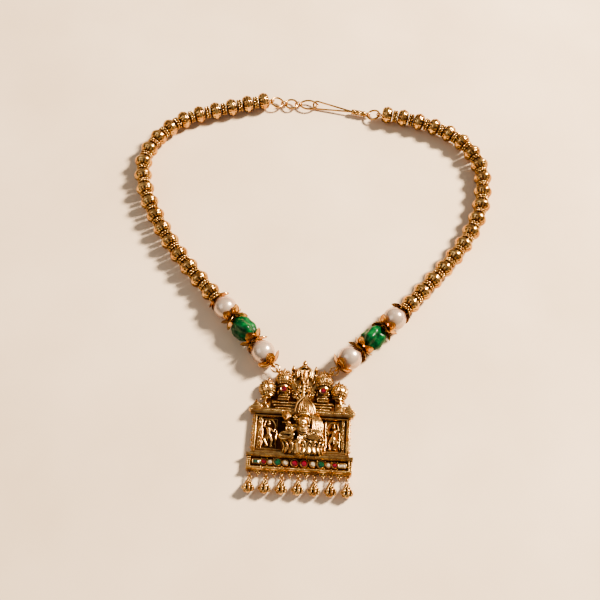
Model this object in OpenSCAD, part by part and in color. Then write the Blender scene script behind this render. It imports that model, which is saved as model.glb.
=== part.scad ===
// A temple jewellery necklace lying flat: a shrine pendant on two strands of ribbed beads.
// The origin is the middle of the pendant's back, +Y runs up the pendant to the clasp, +Z faces the viewer.

/* [Strands] */
// Diameter of a ribbed bead over its band
bead_d = 7.5; // [6.5:0.1:8.5]
// Length of a ribbed bead along the thread
bead_len = 4.4; // [4:0.1:5.2]
// Diameter of a granulated spacer
spacer_d = 5.4; // [4.6:0.1:6.2]
// Length of a granulated spacer
spacer_len = 2.1; // [1.8:0.1:2.8]
// Least play between neighbours on a strand
least_play = 0.25; // [0.18:0.01:0.26]
// Diameter of a pearl
pearl_d = 9; // [8:0.1:10]
// Diameter of a carved green stone over its lobes
green_d = 9.5; // [8.8:0.1:10.2]
// Length that the carved green stone adds between its round ends
green_waist = 1.5; // [1:0.1:2.5]
// Lobes round a carved green stone
green_lobes = 6; // [5:1:8]
// Depth of the carved grooves between the lobes
green_groove = 0.8; // [0.4:0.1:1.2]
// Petals on a bead cap
cap_petals = 5; // [4:1:6]
// Sheet thickness of a bead cap
cap_t = 0.4; // [0.3:0.05:0.6]
// Diameter of the whole middle that a cap's petals grow from
calyx_d = 2.1; // [2:0.1:2.6]
// Angle that a cap's petals reach round the bead
cap_reach = 57; // [48:1:62]
// How far a petal's tip flares off the bead
cap_flare = 0.35; // [0.15:0.05:0.5]
// Length of the small granule ring between two caps
daisy_len = 1; // [0.8:0.05:1.4]
// Diameter of the small granule ring between two caps
daisy_d = 3.4; // [2.6:0.1:4.2]
// Bore through the beads
bore_d = 1.5; // [1.4:0.05:1.8]
// Diameter of the stringing wire
thread_d = 0.5; // [0.4:0.05:0.55]
// Wire of the end loops and of the ears
loop_wire = 0.6; // [0.6:0.02:0.7]
// Centre-line diameter of the end loops and of the ears
loop_d = 1.9; // [1.8:0.05:2.3]

/* [Clasp] */
// Centre-line diameter of the flat clasp rings
ring_d = 5.1; // [4.4:0.1:5.8]
// Wire of the flat clasp rings
ring_wire = 0.84; // [0.6:0.02:0.9]
// Wire of the small upright clasp links
link_wire = 0.56; // [0.4:0.02:0.66]
// Length of the clasp's eye over its centre line
eye_len = 8.2; // [7:0.1:9]
// Width of the clasp's eye over its centre line
eye_w = 5; // [4:0.1:5.6]
// Width of the hook over its centre line
hook_w = 3.3; // [2.8:0.1:3.8]
// Lean of the hook out of the flat
hook_lean = 50; // [40:1:60]
// Length of the sleeve on the hook's tail
sleeve_len = 5.4; // [4.4:0.1:6.4]
// Diameter of the sleeve on the hook's tail
sleeve_d = 2.2; // [1.8:0.1:2.6]

/* [Pendant] */
// Thickness of the back plate
plate_t = 1.2; // [0.9:0.05:1.4]
// Distance from the pendant's lower edge up to its middle
base_drop = 22.6; // [22:0.1:23.2]
// Width of the base block
base_w = 37; // [35:0.5:39.5]
// Height of the base block
base_h = 6.3; // [5.9:0.1:7]
// Height of the base rails over the back
base_rise = 3.5; // [3:0.1:4]
// Width of a base rail
rail_w = 1.5; // [1.2:0.05:1.6]
// Floor of the stone channel over the back
channel_floor = 1.9; // [1.6:0.05:2.2]
// Diameter of the largest base stones
stone_d = 2.4; // [2:0.05:2.5]
// Width of the shrine wall
wall_w = 34.8; // [33:0.2:37]
// Height of the shrine wall
wall_h = 14.9; // [14:0.1:16]
// Rise of the pilasters over the back
pilaster_rise = 2.9; // [2.4:0.1:3.4]
// Width of the cornice
cornice_w = 38.6; // [37:0.2:41]
// Height of the cornice
cornice_h = 1.8; // [1.5:0.1:2.2]
// Rise of the cornice over the back
cornice_rise = 4.3; // [3.8:0.1:5]
// Width of the lowest roof moulding
roof_w = 24; // [22:0.2:26]
// Diameter of the two inner domes
inner_dome_d = 6.2; // [5.6:0.1:6.8]
// Diameter of the two outer domes
outer_dome_d = 6.5; // [5.8:0.1:7]
// Diameter of the roof rubies
dome_ruby_d = 1.9; // [1.6:0.05:2.2]
// Wall of the bezels
bezel_wall = 0.24; // [0.2:0.01:0.3]
// Spare room round a stone in its bezel
stone_gap = 0.08; // [0.06:0.01:0.1]
// Height of the seated figure with its crown and lotus
figure_h = 23.2; // [20:0.2:25]
// Diameter of the rivet that holds the figure
post_d = 1.4; // [1:0.1:2]

/* [Drops] */
// Diameter of a drop over its ring of balls
drop_d = 4.8; // [4.2:0.1:5.2]
// Length of a drop below its eye
drop_len = 5.8; // [5.2:0.1:6.6]
// Centre-line diameter of a drop's eye and of the eye it hangs from
drop_eye_d = 1.3; // [1.2:0.02:1.5]
// Wire of those eyes
drop_eye_wire = 0.36; // [0.3:0.02:0.38]
// Wire of a drop's jump ring
jump_wire = 0.34; // [0.26:0.02:0.36]

/* [Hidden] */

gold = "goldenrod";
fit = 0.13;                                         // gap between neighbours on a strand
$fn = 48;

// Route of the two strands over the ground, from the pendant's ear to the clasp, points chosen by hand
left_route = [
  [-10, 15.5], [-16, 22.3], [-24, 31.5], [-31.5, 39.8], [-38.5, 47.5], [-47.5, 57.5], [-56, 68],
  [-64, 80.5], [-70.5, 93.5], [-74, 107], [-73, 116], [-69.5, 124], [-65, 130], [-59, 135],
  [-52, 138.5], [-45, 141], [-38, 143.5], [-32, 145.5], [-22.3, 148.3]
];
right_route = [
  [10, 15.5], [16.5, 21.8], [25.2, 30.8], [33.5, 40], [40, 47.5], [47, 56.5], [55, 67],
  [62.5, 79], [68, 93], [69.8, 106.5], [69, 115.5], [66.5, 122], [62.5, 128], [57.5, 132.5],
  [51.5, 136], [44.5, 138.8], [37, 141], [25.8, 143]
];
routes = [left_route, right_route];
LEFT = 0;
RIGHT = 1;

// Smooth curve through a route and the lengths run along it
route_steps = 8;
function blend_points(a, b, c, d, t) =
  0.5 * (2 * b + (c - a) * t + (2 * a - 5 * b + 4 * c - d) * t * t + (3 * b - a - 3 * c + d) * t * t * t);
function extended(r) = concat([2 * r[0] - r[1]], r, [2 * r[len(r) - 1] - r[len(r) - 2]]);
function smooth_curve(e) = concat(
  [for (i = [1 : len(e) - 3], k = [0 : route_steps - 1])
    blend_points(e[i - 1], e[i], e[i + 1], e[i + 2], k / route_steps)],
  [e[len(e) - 2]]
);
function run_lengths(p) = [
  for (i = 0, s = 0; i < len(p); s = s + (i + 1 < len(p) ? norm(p[i + 1] - p[i]) : 0), i = i + 1) s
];
curves = [for (r = routes) smooth_curve(extended(r))];
runs = [for (c = curves) run_lengths(c)];

// Stations along a strand, as lengths from the ear. The beads share out the play that the route leaves.
loop_out = (loop_d + loop_wire) / 2;
link_offset = 0.2;                                  // how far the link's wire runs off a loop's middle
s_loop = 2 * loop_out + fit;
cap_gap = 0.12;                                     // gap between a cap and its bead
cap_stack = cap_gap + cap_t + fit;
s_pearl_low = s_loop + loop_out + cap_stack + pearl_d / 2;
half_green = (pearl_d + green_waist) / 2;
s_green = s_pearl_low + pearl_d / 2 + 2 * cap_stack + daisy_len + half_green;
s_pearl_up = s_green + half_green + 2 * cap_stack + daisy_len + pearl_d / 2;
s_cap_end = s_pearl_up + pearl_d / 2 + cap_stack;
function s_end(side) = runs[side][len(runs[side]) - 1];
function bead_run(side) = s_end(side) - loop_out - fit - s_cap_end;
pair_len = bead_len + spacer_len;
function bead_count(side) = floor((bead_run(side) + least_play) / (pair_len + 2 * least_play));
function play(side) = (bead_run(side) - bead_count(side) * pair_len) / (2 * bead_count(side) - 1);
function s_bead(side, i) =
  s_cap_end + spacer_len + play(side) + bead_len / 2 + i * (pair_len + 2 * play(side));
function s_spacer(side, i) = s_bead(side, i) - bead_len / 2 - play(side) - spacer_len / 2;
ear_z = 3.2;
end_z = 3;

xs = [for (k = [LEFT, RIGHT]) [for (i = [0 : len(runs[k]) - 1]) [runs[k][i], curves[k][i].x]]];
ys = [for (k = [LEFT, RIGHT]) [for (i = [0 : len(runs[k]) - 1]) [runs[k][i], curves[k][i].y]]];
zs = [for (k = [LEFT, RIGHT]) [
  [0, ear_z], [s_pearl_low, pearl_d / 2], [s_green, green_d / 2], [s_pearl_up, pearl_d / 2],
  [s_bead(k, 0), bead_d / 2], [s_bead(k, bead_count(k) - 1), bead_d / 2], [s_end(k), end_z]
]];
function station(side, s) = [lookup(s, xs[side]), lookup(s, ys[side]), lookup(s, zs[side])];

function unit(v) = v / norm(v);

// Sets children on the line from a to b, X along it and Y level
module along(a, b) {
  v = b - a;
  translate(a) rotate([0, -asin(v.z / norm(v)), atan2(v.y, v.x)]) children();
}
// Sets children at a length s of a strand, X towards the clasp
module on_strand(side, s, reach = 2) {
  a = station(side, s - reach);
  b = station(side, s + reach);
  v = b - a;
  translate(station(side, s)) rotate([0, -asin(v.z / norm(v)), atan2(v.y, v.x)]) children();
}
// Turns a shape of revolution about Z to lie along X
module lie() { rotate([0, 90, 0]) children(); }
module torus(d, wire) { rotate_extrude() translate([d / 2, 0]) circle(d = wire, $fn = 32); }
module upright_torus(d, wire) { rotate([90, 0, 0]) torus(d, wire); }
module rod(a, b, d) {
  v = b - a;
  translate(a) rotate([0, acos(v.z / norm(v)), atan2(v.y, v.x)]) cylinder(d = d, h = norm(v), $fn = 24);
}

// Ribbed bead: a raised band between two round ends, drilled
bead_band = 1.5;
bead_band_step = 0.4;
bead_end_d = 3;
module ribbed_bead() {
  shoulder = bead_d / 2 - bead_band_step;
  rise = bead_len / 2 - bead_band / 2;
  side_arc = [
    for (a = [0 : 18 : 90])
      [bead_end_d / 2 + (shoulder - bead_end_d / 2) * cos(a), bead_band / 2 + rise * sin(a)]
  ];
  upper = concat([[bead_d / 2, bead_band / 2]], side_arc, [[bore_d / 2, bead_len / 2]]);
  lower = [for (i = [len(upper) - 1 : -1 : 0]) [upper[i].x, -upper[i].y]];
  lie() rotate_extrude() polygon(concat(upper, lower));
}

// Granulated spacer: two swelling rows with a waist between, drilled
module granule_spacer(d, len) {
  row = len / 2;
  swell = [
    for (side = [1, -1], a = [90 : -30 : -90])
      [d / 2 - row / 2 * (1 - cos(a)), side * row / 2 + row / 2 * sin(a) * 0.96]
  ];
  lie() rotate_extrude() polygon(concat([[bore_d / 2, len * 0.49]], swell, [[bore_d / 2, -len * 0.49]]));
}

// Bead cap: a cup of sheet cut into petals whose tips flare, its bead's round end centred at the origin
module bead_cap() {
  ri = pearl_d / 2 + cap_gap;
  ro = ri + cap_t;
  a0 = asin(bore_d / 2 / ri);
  a1 = cap_reach - 8;
  inner = [for (k = [0 : 6]) let (a = a0 + (a1 - a0) * k / 6) ri * [sin(a), cos(a)]];
  tip = (ri + cap_flare) * [sin(cap_reach), cos(cap_reach)];
  tip_out = (ro + cap_flare) * [sin(cap_reach), cos(cap_reach)];
  outer = [for (k = [6 : -1 : 0]) let (a = a0 + (a1 - a0) * k / 6) ro * [sin(a), cos(a)]];
  notch = PI * ri * sin(cap_reach) / cap_petals - 0.35;
  notch_x = sqrt(ri * ri - calyx_d * calyx_d / 4) - notch;
  difference() {
    lie() rotate_extrude() polygon(concat(inner, [tip, tip_out], outer));
    for (k = [0 : cap_petals - 1])
      rotate([360 / cap_petals * (k + 0.5), 0, 0])
        translate([notch_x, 0, 0]) cylinder(r = notch, h = pearl_d);
  }
}

// Carved green stone: a drilled, lobed bead swept as rings round its axis
module carved_green() {
  around = 36;
  ends = half_green;
  r_end = pearl_d / 2;
  r_mid = green_d / 2;
  rings = [-80, -62, -44, -26, -9, 9, 26, 44, 62, 80];
  function outline(a) = let (
      x = r_end * sin(a) + sign(a) * green_waist / 2 * min(1, abs(a) / 26),
      r = r_end * cos(a) * (1 + (r_mid / r_end - 1) * cos(a))
    ) [x, r];
  function groove(t, a) = green_groove * cos(a) * pow(abs(sin(t * green_lobes / 2)), 4);
  last = len(rings) - 1;
  skin = [
    for (j = [0 : last], i = [0 : around - 1])
      let (
        t = 360 * i / around,
        o = outline(rings[j]),
        r = max(o[1] - groove(t, rings[j]), bore_d / 2 + 0.02)
      ) [o[0], r * sin(t), r * cos(t)]
  ];
  bore = [
    for (j = [1, 0], i = [0 : around - 1])
      let (t = 360 * i / around)
        [(j * 2 - 1) * (outline(rings[last])[0] - 0.1), bore_d / 2 * sin(t), bore_d / 2 * cos(t)]
  ];
  points = concat(skin, bore);
  rows = last + 3;
  faces = [
    for (j = [0 : rows - 1], i = [0 : around - 1], half = [0, 1])
      let (
        a = j * around + i,
        b = j * around + (i + 1) % around,
        c = ((j + 1) % rows) * around + (i + 1) % around,
        d = ((j + 1) % rows) * around + i
      ) half == 0 ? [a, b, c] : [a, c, d]
  ];
  polyhedron(points, faces);
}

module pearl() {
  lie() difference() {
    sphere(d = pearl_d, $fn = 64);
    translate([0, 0, -pearl_d]) cylinder(d = bore_d, h = 2 * pearl_d);
  }
}
module pearl_at(side, s) { color("seashell") on_strand(side, s) pearl(); }
module green_at(side) { color("seagreen") on_strand(side, s_green) carved_green(); }

module bead_caps(side) {
  color(gold) {
    for (s = [s_pearl_low, s_pearl_up], way = [0, 180]) on_strand(side, s) rotate([0, way, 0]) bead_cap();
    for (way = [0, 180])
      on_strand(side, s_green) rotate([0, way, 0]) translate([green_waist / 2, 0, 0]) bead_cap();
  }
}

module bead_string(side) {
  color(gold) {
    for (i = [0 : bead_count(side) - 1]) {
      on_strand(side, s_bead(side, i)) ribbed_bead();
      on_strand(side, s_spacer(side, i)) granule_spacer(spacer_d, spacer_len);
    }
    for (s = [s_pearl_low + pearl_d / 2, s_green + half_green])
      on_strand(side, s + cap_stack + daisy_len / 2) granule_spacer(daisy_d, daisy_len);
  }
}

// Stringing wire: a tube swept along the strand, closed at each end into an upright loop
thread_rings = 76;
thread_sides = 6;
module thread(side) {
  from = s_loop + loop_d / 2;
  to = s_end(side) - loop_d / 2;
  stops = [for (i = [0 : thread_rings - 1]) from + (to - from) * i / (thread_rings - 1)];
  points = [
    for (s = stops, k = [0 : thread_sides - 1])
      let (
        v = station(side, s + 1) - station(side, s - 1),
        w = [-v.y, v.x, 0] / norm([v.x, v.y]),
        a = 360 * k / thread_sides
      ) station(side, s) + thread_d / 2 * (cos(a) * w + sin(a) * [0, 0, 1])
  ];
  skin = [
    for (j = [0 : thread_rings - 2], k = [0 : thread_sides - 1], half = [0, 1])
      let (a = j * thread_sides + k, b = j * thread_sides + (k + 1) % thread_sides)
        half == 0 ? [a, b + thread_sides, b] : [a, a + thread_sides, b + thread_sides]
  ];
  start_cap = [for (k = [0 : thread_sides - 1]) k];
  end_cap = [for (k = [thread_sides - 1 : -1 : 0]) (thread_rings - 1) * thread_sides + k];
  color("darkgoldenrod") {
    polyhedron(points, concat(skin, [start_cap, end_cap]));
    along(station(side, s_loop), station(side, from)) upright_torus(loop_d, loop_wire);
    along(station(side, s_end(side)), station(side, to)) upright_torus(loop_d, loop_wire);
  }
}

// Ring from the end loop to the pendant's ear, lying across both
link_d = s_loop + 2 * link_offset;
module pendant_link(side) {
  color(gold) along(station(side, 0), station(side, s_loop))
    translate([s_loop / 2, 0, 0]) torus(link_d, loop_wire);
}

// Places of the clasp, from the left end loop to the right one
link_spread = ring_wire + 0.36;                     // between two ring wires inside an upright link
link_in_d = link_spread + ring_wire + 0.24;
clasp_link_d = link_in_d + link_wire;
clasp_z = (clasp_link_d + link_wire) / 2;
left_end = station(LEFT, s_end(LEFT));
right_end = station(RIGHT, s_end(RIGHT));
function level(p) = [p.x, p.y, clasp_z];
half_spread = [link_spread / 2, 0, 0];
link_1 = level(left_end) + [ring_d, 0, 0] + half_spread;
link_2 = link_1 + [ring_d + link_spread, 0, 0];
eye_seat = 0.13;                                    // how far the eye's narrow point draws towards the link
eye_from = link_2 + half_spread - [eye_seat, 0, 0];
eye_to = eye_from + [eye_len, 0, 0];
tail = right_end - eye_to;
tail_dir = [tail.x, tail.y, 0] / norm([tail.x, tail.y]);
hook_slack = 0.3;                                   // from the eye's point back to the hook's bend
hook_from = eye_to - [hook_slack, 0, 0];
hook_loop_at = level(right_end - ring_d * tail_dir);
hook_to = hook_loop_at - (loop_out + sleeve_len) * tail_dir;

module clasp_ring(a, b) {
  d = norm(b - a);
  color(gold) along(a, b) translate([d / 2, 0, 0]) torus(d, ring_wire);
}
module clasp_links() {
  color(gold) for (p = [link_1, link_2]) translate(p) upright_torus(clasp_link_d, link_wire);
}

// Pointed oval of wire between x = 0 and x = len, closed by a small ball at each point
module pointed_oval(len, w, wire, ball_from, ball_to) {
  r = (pow(len / 2, 2) + pow(w / 2, 2)) / w;
  half = asin(len / 2 / r);
  for (way = [0, 180])
    rotate([way, 0, 0])
      translate([len / 2, w / 2 - r, 0])
        rotate([0, 0, 90 - half]) rotate_extrude(angle = 2 * half)
          translate([r, 0]) circle(d = wire, $fn = 32);
  sphere(d = ball_from, $fn = 32);
  translate([len, 0, 0]) sphere(d = ball_to, $fn = 32);
}
module clasp_eye() {
  color(gold) translate(eye_from) pointed_oval(eye_len, eye_w, ring_wire, ring_wire + 0.16, ring_wire + 0.3);
}

// Hairpin of wire round x = 0, whose two legs run together at x = len
module hairpin(len, w, wire) {
  meet = acos(w / 2 / len);
  leg = sqrt(len * len - w * w / 4);
  rotate([0, 0, meet]) rotate_extrude(angle = 360 - 2 * meet)
    translate([w / 2, 0]) circle(d = wire, $fn = 32);
  for (way = [-1, 1])
    rotate([0, 0, way * meet]) translate([w / 2, 0, 0])
      rotate([way * 90, 0, 0]) cylinder(d = wire, h = leg, $fn = 32);
}
module clasp_hook() {
  hook_len = norm(hook_to - hook_from);
  color(gold) along(hook_from, hook_to) {
    rotate([hook_lean, 0, 0]) hairpin(hook_len, hook_w, ring_wire * 0.9);
    translate([hook_len - 0.6, 0, 0]) lie() cylinder(d = sleeve_d, h = sleeve_len + 0.8);
    for (k = [0 : 2])
      translate([hook_len + 0.5 + k * (sleeve_len - 1) / 2, 0, 0]) lie() torus(sleeve_d, 0.4);
    translate([hook_len + sleeve_len + loop_out, 0, 0]) upright_torus(loop_d, loop_wire);
  }
}

// Levels of the pendant, up from its lower edge
y_low = -base_drop;
y_wall = y_low + base_h;
y_cornice = y_wall + wall_h;
y_roof = y_cornice + cornice_h;
channel_w = base_h - 2 * rail_w - 0.6;
y_stones = y_low + rail_w + 0.3 + channel_w / 2;

// Base stones from the middle outwards, as shares: place of the base's half width, diameter of stone_d
stone_row = [for (r = [[0.088, 0.96], [0.26, 0.75], [0.411, 1], [0.554, 0.62], [0.673, 0.71]])
  [r[0] * base_w / 2, r[1] * stone_d]];
baguette = [0.816 * base_w / 2, 0.96 * stone_d, 0.54 * stone_d];    // place, length, width
stone_colors = ["crimson", "mintcream", "green", "mintcream", "crimson"];
pavilion = 0.34;                                    // depths as shares of a stone's diameter
crown = 0.16;
table = 0.58;
function girdle_z(d, floor_z) = floor_z + stone_gap + pavilion * d;

// Round cut stone: a flat table over eight crown facets, a girdle and a pavilion
module cut_stone(d, floor_z, facets = 8) {
  z = girdle_z(d, floor_z);
  translate([0, 0, z]) {
    cylinder(d1 = d, d2 = table * d, h = crown * d, $fn = facets);
    translate([0, 0, -0.12]) cylinder(d = d, h = 0.12, $fn = facets);
    translate([0, 0, -pavilion * d]) cylinder(d1 = 0.24 * d, d2 = d, h = pavilion * d - 0.12, $fn = facets);
  }
}
// Step cut stone: a rectangle whose edges slope to a table
module step_stone(len, w, floor_z) {
  z = girdle_z(w, floor_z);
  function frame_at(l, b, h) = [[-l, -b, h], [l, -b, h], [l, b, h], [-l, b, h]] / 2;
  levels = [
    [0.3, 0.3, z - pavilion * w], [1, 1, z - 0.12], [1, 1, z], [0.82, 0.7, z + 0.16], [0.62, 0.4, z + 0.26]
  ];
  points = [for (v = levels) each frame_at(v[0] * len, v[1] * w, 2 * v[2])];
  sides = [
    for (j = [0 : 3], k = [0 : 3])
      let (a = 4 * j + k, b = 4 * j + (k + 1) % 4) [a, a + 4, b + 4, b]
  ];
  polyhedron(points, concat([[0, 1, 2, 3]], sides, [[19, 18, 17, 16]]));
}
module bezel(d, floor_z) {
  translate([0, 0, floor_z - 0.4]) difference() {
    cylinder(d = d + 2 * (stone_gap + bezel_wall), h = girdle_z(d, floor_z) - floor_z + 0.5);
    translate([0, 0, 0.4]) cylinder(d = d + 2 * stone_gap, h = d);
  }
}
function stone_side(i) = i <= 6 ? -1 : 1;
function stone_rank(i) = i <= 6 ? 6 - i : i - 7;
module base_stone(i) {
  side = stone_side(i);
  rank = stone_rank(i);
  if (rank < 5)
    color(stone_colors[rank]) translate([side * stone_row[rank][0], y_stones, 0])
      cut_stone(stone_row[rank][1], channel_floor);
  else
    color(side < 0 ? "darkgreen" : "mintcream") translate([side * baguette[0], y_stones, 0])
      step_stone(baguette[1], baguette[2], channel_floor);
}

dome_ruby_floor = 3.1;
module dome_ruby(side) {
  color("crimson") translate([side * dome_ruby_at.x, dome_ruby_at.y, 0])
    cut_stone(dome_ruby_d, dome_ruby_floor);
}

// Box from a corner, given as [x, y, z] and [w, h, t]
module block(x, y, z, w, h, t) { translate([x, y, z]) cube([w, h, t]); }
module both_sides() {
  children();
  mirror([1, 0, 0]) children();
}
// Small pot finial pointing up the pendant
module finial(h, d) {
  rotate([-90, 0, 0]) {
    cylinder(d1 = d, d2 = d * 0.5, h = h * 0.45, $fn = 24);
    translate([0, 0, h * 0.5]) sphere(d = d * 0.92, $fn = 24);
    translate([0, 0, h * 0.6]) cylinder(d1 = d * 0.62, d2 = d * 0.12, h = h * 0.5, $fn = 24);
  }
}

post_gap = 0.12;                                    // round the figure's rivet
figure_at = [0.9, y_wall + 2.5, plate_t + 0.1];     // middle of the lotus seat on the plate
post_y = 5.3;                                       // rivet over the seat
outer_dome = [cornice_w / 2 - outer_dome_d / 2 - 2.85, y_roof + 8.6];
inner_dome = [outer_dome.x - 5.8, y_roof + 12.3];
dome_ruby_at = [inner_dome.x - 0.2, y_roof + 7.7];
crest_y = y_roof + 11.5;

// Back plate of the shrine and its roof, one flat sheet
module back_plate() {
  difference() {
    union() {
      block(-base_w / 2, y_low, 0, base_w, base_h, plate_t);
      block(-wall_w / 2, y_wall - 1, 0, wall_w, wall_h + 2, plate_t);
      block(-wall_w / 2 + 0.5, y_cornice, 0, wall_w - 1, cornice_h + 3.2, plate_t);
      block(-outer_dome.x - 1, y_roof, 0, 2 * outer_dome.x + 2, 10, plate_t + 0.2);
      both_sides() translate([outer_dome.x, outer_dome.y, 0]) cylinder(d = outer_dome_d - 0.8, h = plate_t);
      both_sides() translate([inner_dome.x, inner_dome.y, 0])
        cylinder(d = inner_dome_d + 0.6, h = plate_t + 0.3);
      translate([0, crest_y, 0]) cylinder(d = 13, h = plate_t + 0.4);
    }
    translate([figure_at.x, figure_at.y + post_y, -1])
      cylinder(d = post_d + 2 * post_gap, h = plate_t + 3);
  }
}

// Base block: two rails, end blocks, a channel floor and the bezels of its stones
module base_block() {
  block(-base_w / 2 + 0.2, y_low + 0.2, 0.3, base_w - 0.4, base_h - 0.4, channel_floor - 0.3);
  block(-base_w / 2, y_low + 0.1, 0.5, base_w, rail_w - 0.4, base_rise - 0.8);
  translate([-base_w / 2, y_low + rail_w / 2, base_rise - 0.75]) lie() cylinder(d = rail_w, h = base_w);
  block(-base_w / 2, y_wall - rail_w, 0.5, base_w, rail_w - 0.3, base_rise - 0.6);
  translate([-base_w / 2 - 0.3, y_wall - rail_w * 0.6, base_rise - 0.55])
    lie() cylinder(d = rail_w, h = base_w + 0.6);
  both_sides() block(base_w / 2 - 1.3, y_low + 0.5, 0.6, 1.2, base_h - 1, base_rise - 1.1);
  both_sides() for (s = stone_row) translate([s[0], y_stones, 0]) bezel(s[1], channel_floor);
  both_sides() translate([baguette[0], y_stones, channel_floor - 0.3]) difference() {
    box_l = baguette[1] + 2 * (stone_gap + bezel_wall);
    box_w = baguette[2] + 2 * (stone_gap + bezel_wall);
    translate([-box_l / 2, -box_w / 2, 0]) cube([box_l, box_w, 0.95]);
    translate([-box_l / 2 + bezel_wall, -box_w / 2 + bezel_wall, 0.3])
      cube([box_l - 2 * bezel_wall, box_w - 2 * bezel_wall, 2]);
  }
}

// Eyes for the drops and the granule trim between them
y_eye = y_low - drop_eye_d / 2 + 0.12;
eye_z = 1.6;
drop_count = 7;
drop_pitch = (base_w - 2.8) / (drop_count - 1);
function drop_x(i) = (i - (drop_count - 1) / 2) * drop_pitch;
module edge_trim() {
  for (i = [0 : drop_count - 1]) translate([drop_x(i), y_eye, eye_z]) torus(drop_eye_d, drop_eye_wire);
  for (i = [0 : drop_count - 2]) {
    x = drop_x(i + 0.5);
    translate([x, y_low, 1.9]) sphere(d = 1.7, $fn = 24);
    translate([x, y_low - 1.05, 1.9]) sphere(d = 1.05, $fn = 24);
    translate([x, y_low - 1.75, 1.9]) sphere(d = 0.75, $fn = 24);
    both_sides_of(x) translate([0.95, y_low - 0.25, 1.9]) sphere(d = 0.85, $fn = 24);
  }
}
module both_sides_of(x) { translate([x, 0, 0]) both_sides() children(); }

// Wall: pilasters, sill and the frames of the two panels
pilaster_w = 1.4;
panel_x = 7.4;
panel_w = wall_w / 2 - pilaster_w - 1.7 - panel_x;
panel_low = 2.6;
panel_h = wall_h - 3.6;
module wall_front() {
  block(-wall_w / 2, y_wall + 0.2, 0.4, wall_w, 1.7, pilaster_rise - 0.4);
  block(-wall_w / 2 + 0.6, y_wall + wall_h - 1, 0.4, wall_w - 1.2, 1.4, pilaster_rise - 0.2);
  both_sides() {
    block(wall_w / 2 - pilaster_w, y_wall + 0.5, 0.3, pilaster_w, wall_h - 0.4, pilaster_rise - 0.3);
    block(panel_x + panel_w + 0.1, y_wall + 1, 0.4, 1.1, wall_h - 1.4, pilaster_rise - 0.6);
    for (k = [0 : 4])
      translate([wall_w / 2, y_wall + (k + 0.9) * wall_h / 5.7, pilaster_rise * 0.55])
        sphere(d = 1.1, $fn = 24);
    for (k = [0 : 3])
      translate([panel_x + panel_w + 0.65, y_wall + (k + 1) * wall_h / 5.1, pilaster_rise - 0.25])
        sphere(d = 0.85, $fn = 24);
  }
}

// Small dancing figure in relief, feet at the origin on the plate
dancer_h = 11.3;                                    // panel that the figure's own sizes are drawn for
module dancer(lean) {
  z = 0.25;
  hip = [0, 4.3, z + 0.2];
  chest = [lean * 0.5, 6.4, z + 0.3];
  head = [lean * 0.2, 8.3, z + 0.35];
  translate(head) sphere(d = 1.5, $fn = 24);
  translate(head + [0, 0.9, 0]) sphere(d = 0.8, $fn = 24);
  rod(hip, chest, 1.1);
  translate(chest) sphere(d = 1.4, $fn = 24);
  translate(hip) sphere(d = 1.5, $fn = 24);
  rod(hip, [lean * 1.6, 2.5, z + 0.2], 0.8);
  rod([lean * 1.6, 2.5, z + 0.2], [lean * 0.3, 0.4, z], 0.62);
  rod(hip, [-lean * 0.9, 2.3, z + 0.1], 0.8);
  rod([-lean * 0.9, 2.3, z + 0.1], [-lean * 0.6, 0.2, z], 0.62);
  rod(chest, [lean * 2, 7.3, z], 0.5);
  rod([lean * 2, 7.3, z], [lean * 1.6, 9.2, z], 0.44);
  rod(chest, [-lean * 1.7, 5.4, z], 0.5);
  rod([-lean * 1.7, 5.4, z], [-lean * 2.4, 7.2, z], 0.44);
}

// Cornice with a rounded nose and upturned ends
module cornice() {
  w = cornice_w;
  block(-w / 2 + 0.9, y_cornice + 0.15, 0.6, w - 1.8, cornice_h - 0.3, cornice_rise - 1.3);
  translate([-w / 2 + 0.3, y_cornice + 0.8, cornice_rise - 0.75]) lie() cylinder(d = 1.5, h = w - 0.6);
  translate([-w / 2 + 1, y_cornice + 1.45, cornice_rise - 0.55]) lie() cylinder(d = 0.8, h = w - 2);
  both_sides() {
    translate([w / 2 - 0.75, y_cornice + 0.85, cornice_rise - 0.7]) sphere(d = 1.7, $fn = 24);
    for (k = [0 : 2])
      block(w / 2 - 4.6 + k * 0.6, y_roof - 0.2 + k * 0.95, 0.7, 3.4 - k * 1.2, 1.15, 2.8 - k * 0.3);
    translate([w / 2 - 2.9, y_roof + 2.4, 1.8]) finial(1.9, 1);
  }
}

// Stepped roof over the cornice: mouldings, ruby blocks, domes, crest and finials
module roof() {
  both_sides() {
    for (k = [0 : 2])
      block(0, y_roof + 0.1 + k * 1.15, 0.6, roof_w / 2 - k, 0.8, cornice_rise - 1.1 - k * 0.2);
    for (k = [0 : 2])
      block(0, y_roof - 0.1 + k * 1.15, 0.7, roof_w / 2 - 0.6 - k, 0.9, cornice_rise - 1.9 - k * 0.2);
    block(dome_ruby_at.x - 2.2, y_roof + 3.3, 0.8, 4.2, 1.7, 2.4);
    block(dome_ruby_at.x - 1.8, y_roof + 4.9, 0.9, 3.4, 1.2, 1.9);
    translate([dome_ruby_at.x, dome_ruby_at.y, 0.5])
      cylinder(d = dome_ruby_d + 1.1, h = dome_ruby_floor - 0.5);
    translate([dome_ruby_at.x, dome_ruby_at.y, 0]) bezel(dome_ruby_d, dome_ruby_floor);
    half_dome(inner_dome, inner_dome_d, 1.7, 0.7);
    translate([inner_dome.x, inner_dome.y + 2.7, 2]) finial(2, 1.3);
    half_dome(outer_dome, outer_dome_d, 1.4, 1.3);
    translate([outer_dome.x - 0.4, outer_dome.y + 2.7, 1.8]) finial(1.6, 1.1);
    translate([4.2, crest_y + 5, 1.7]) finial(2.6, 1.3);
    attendant();
  }
  crest();
}

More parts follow.
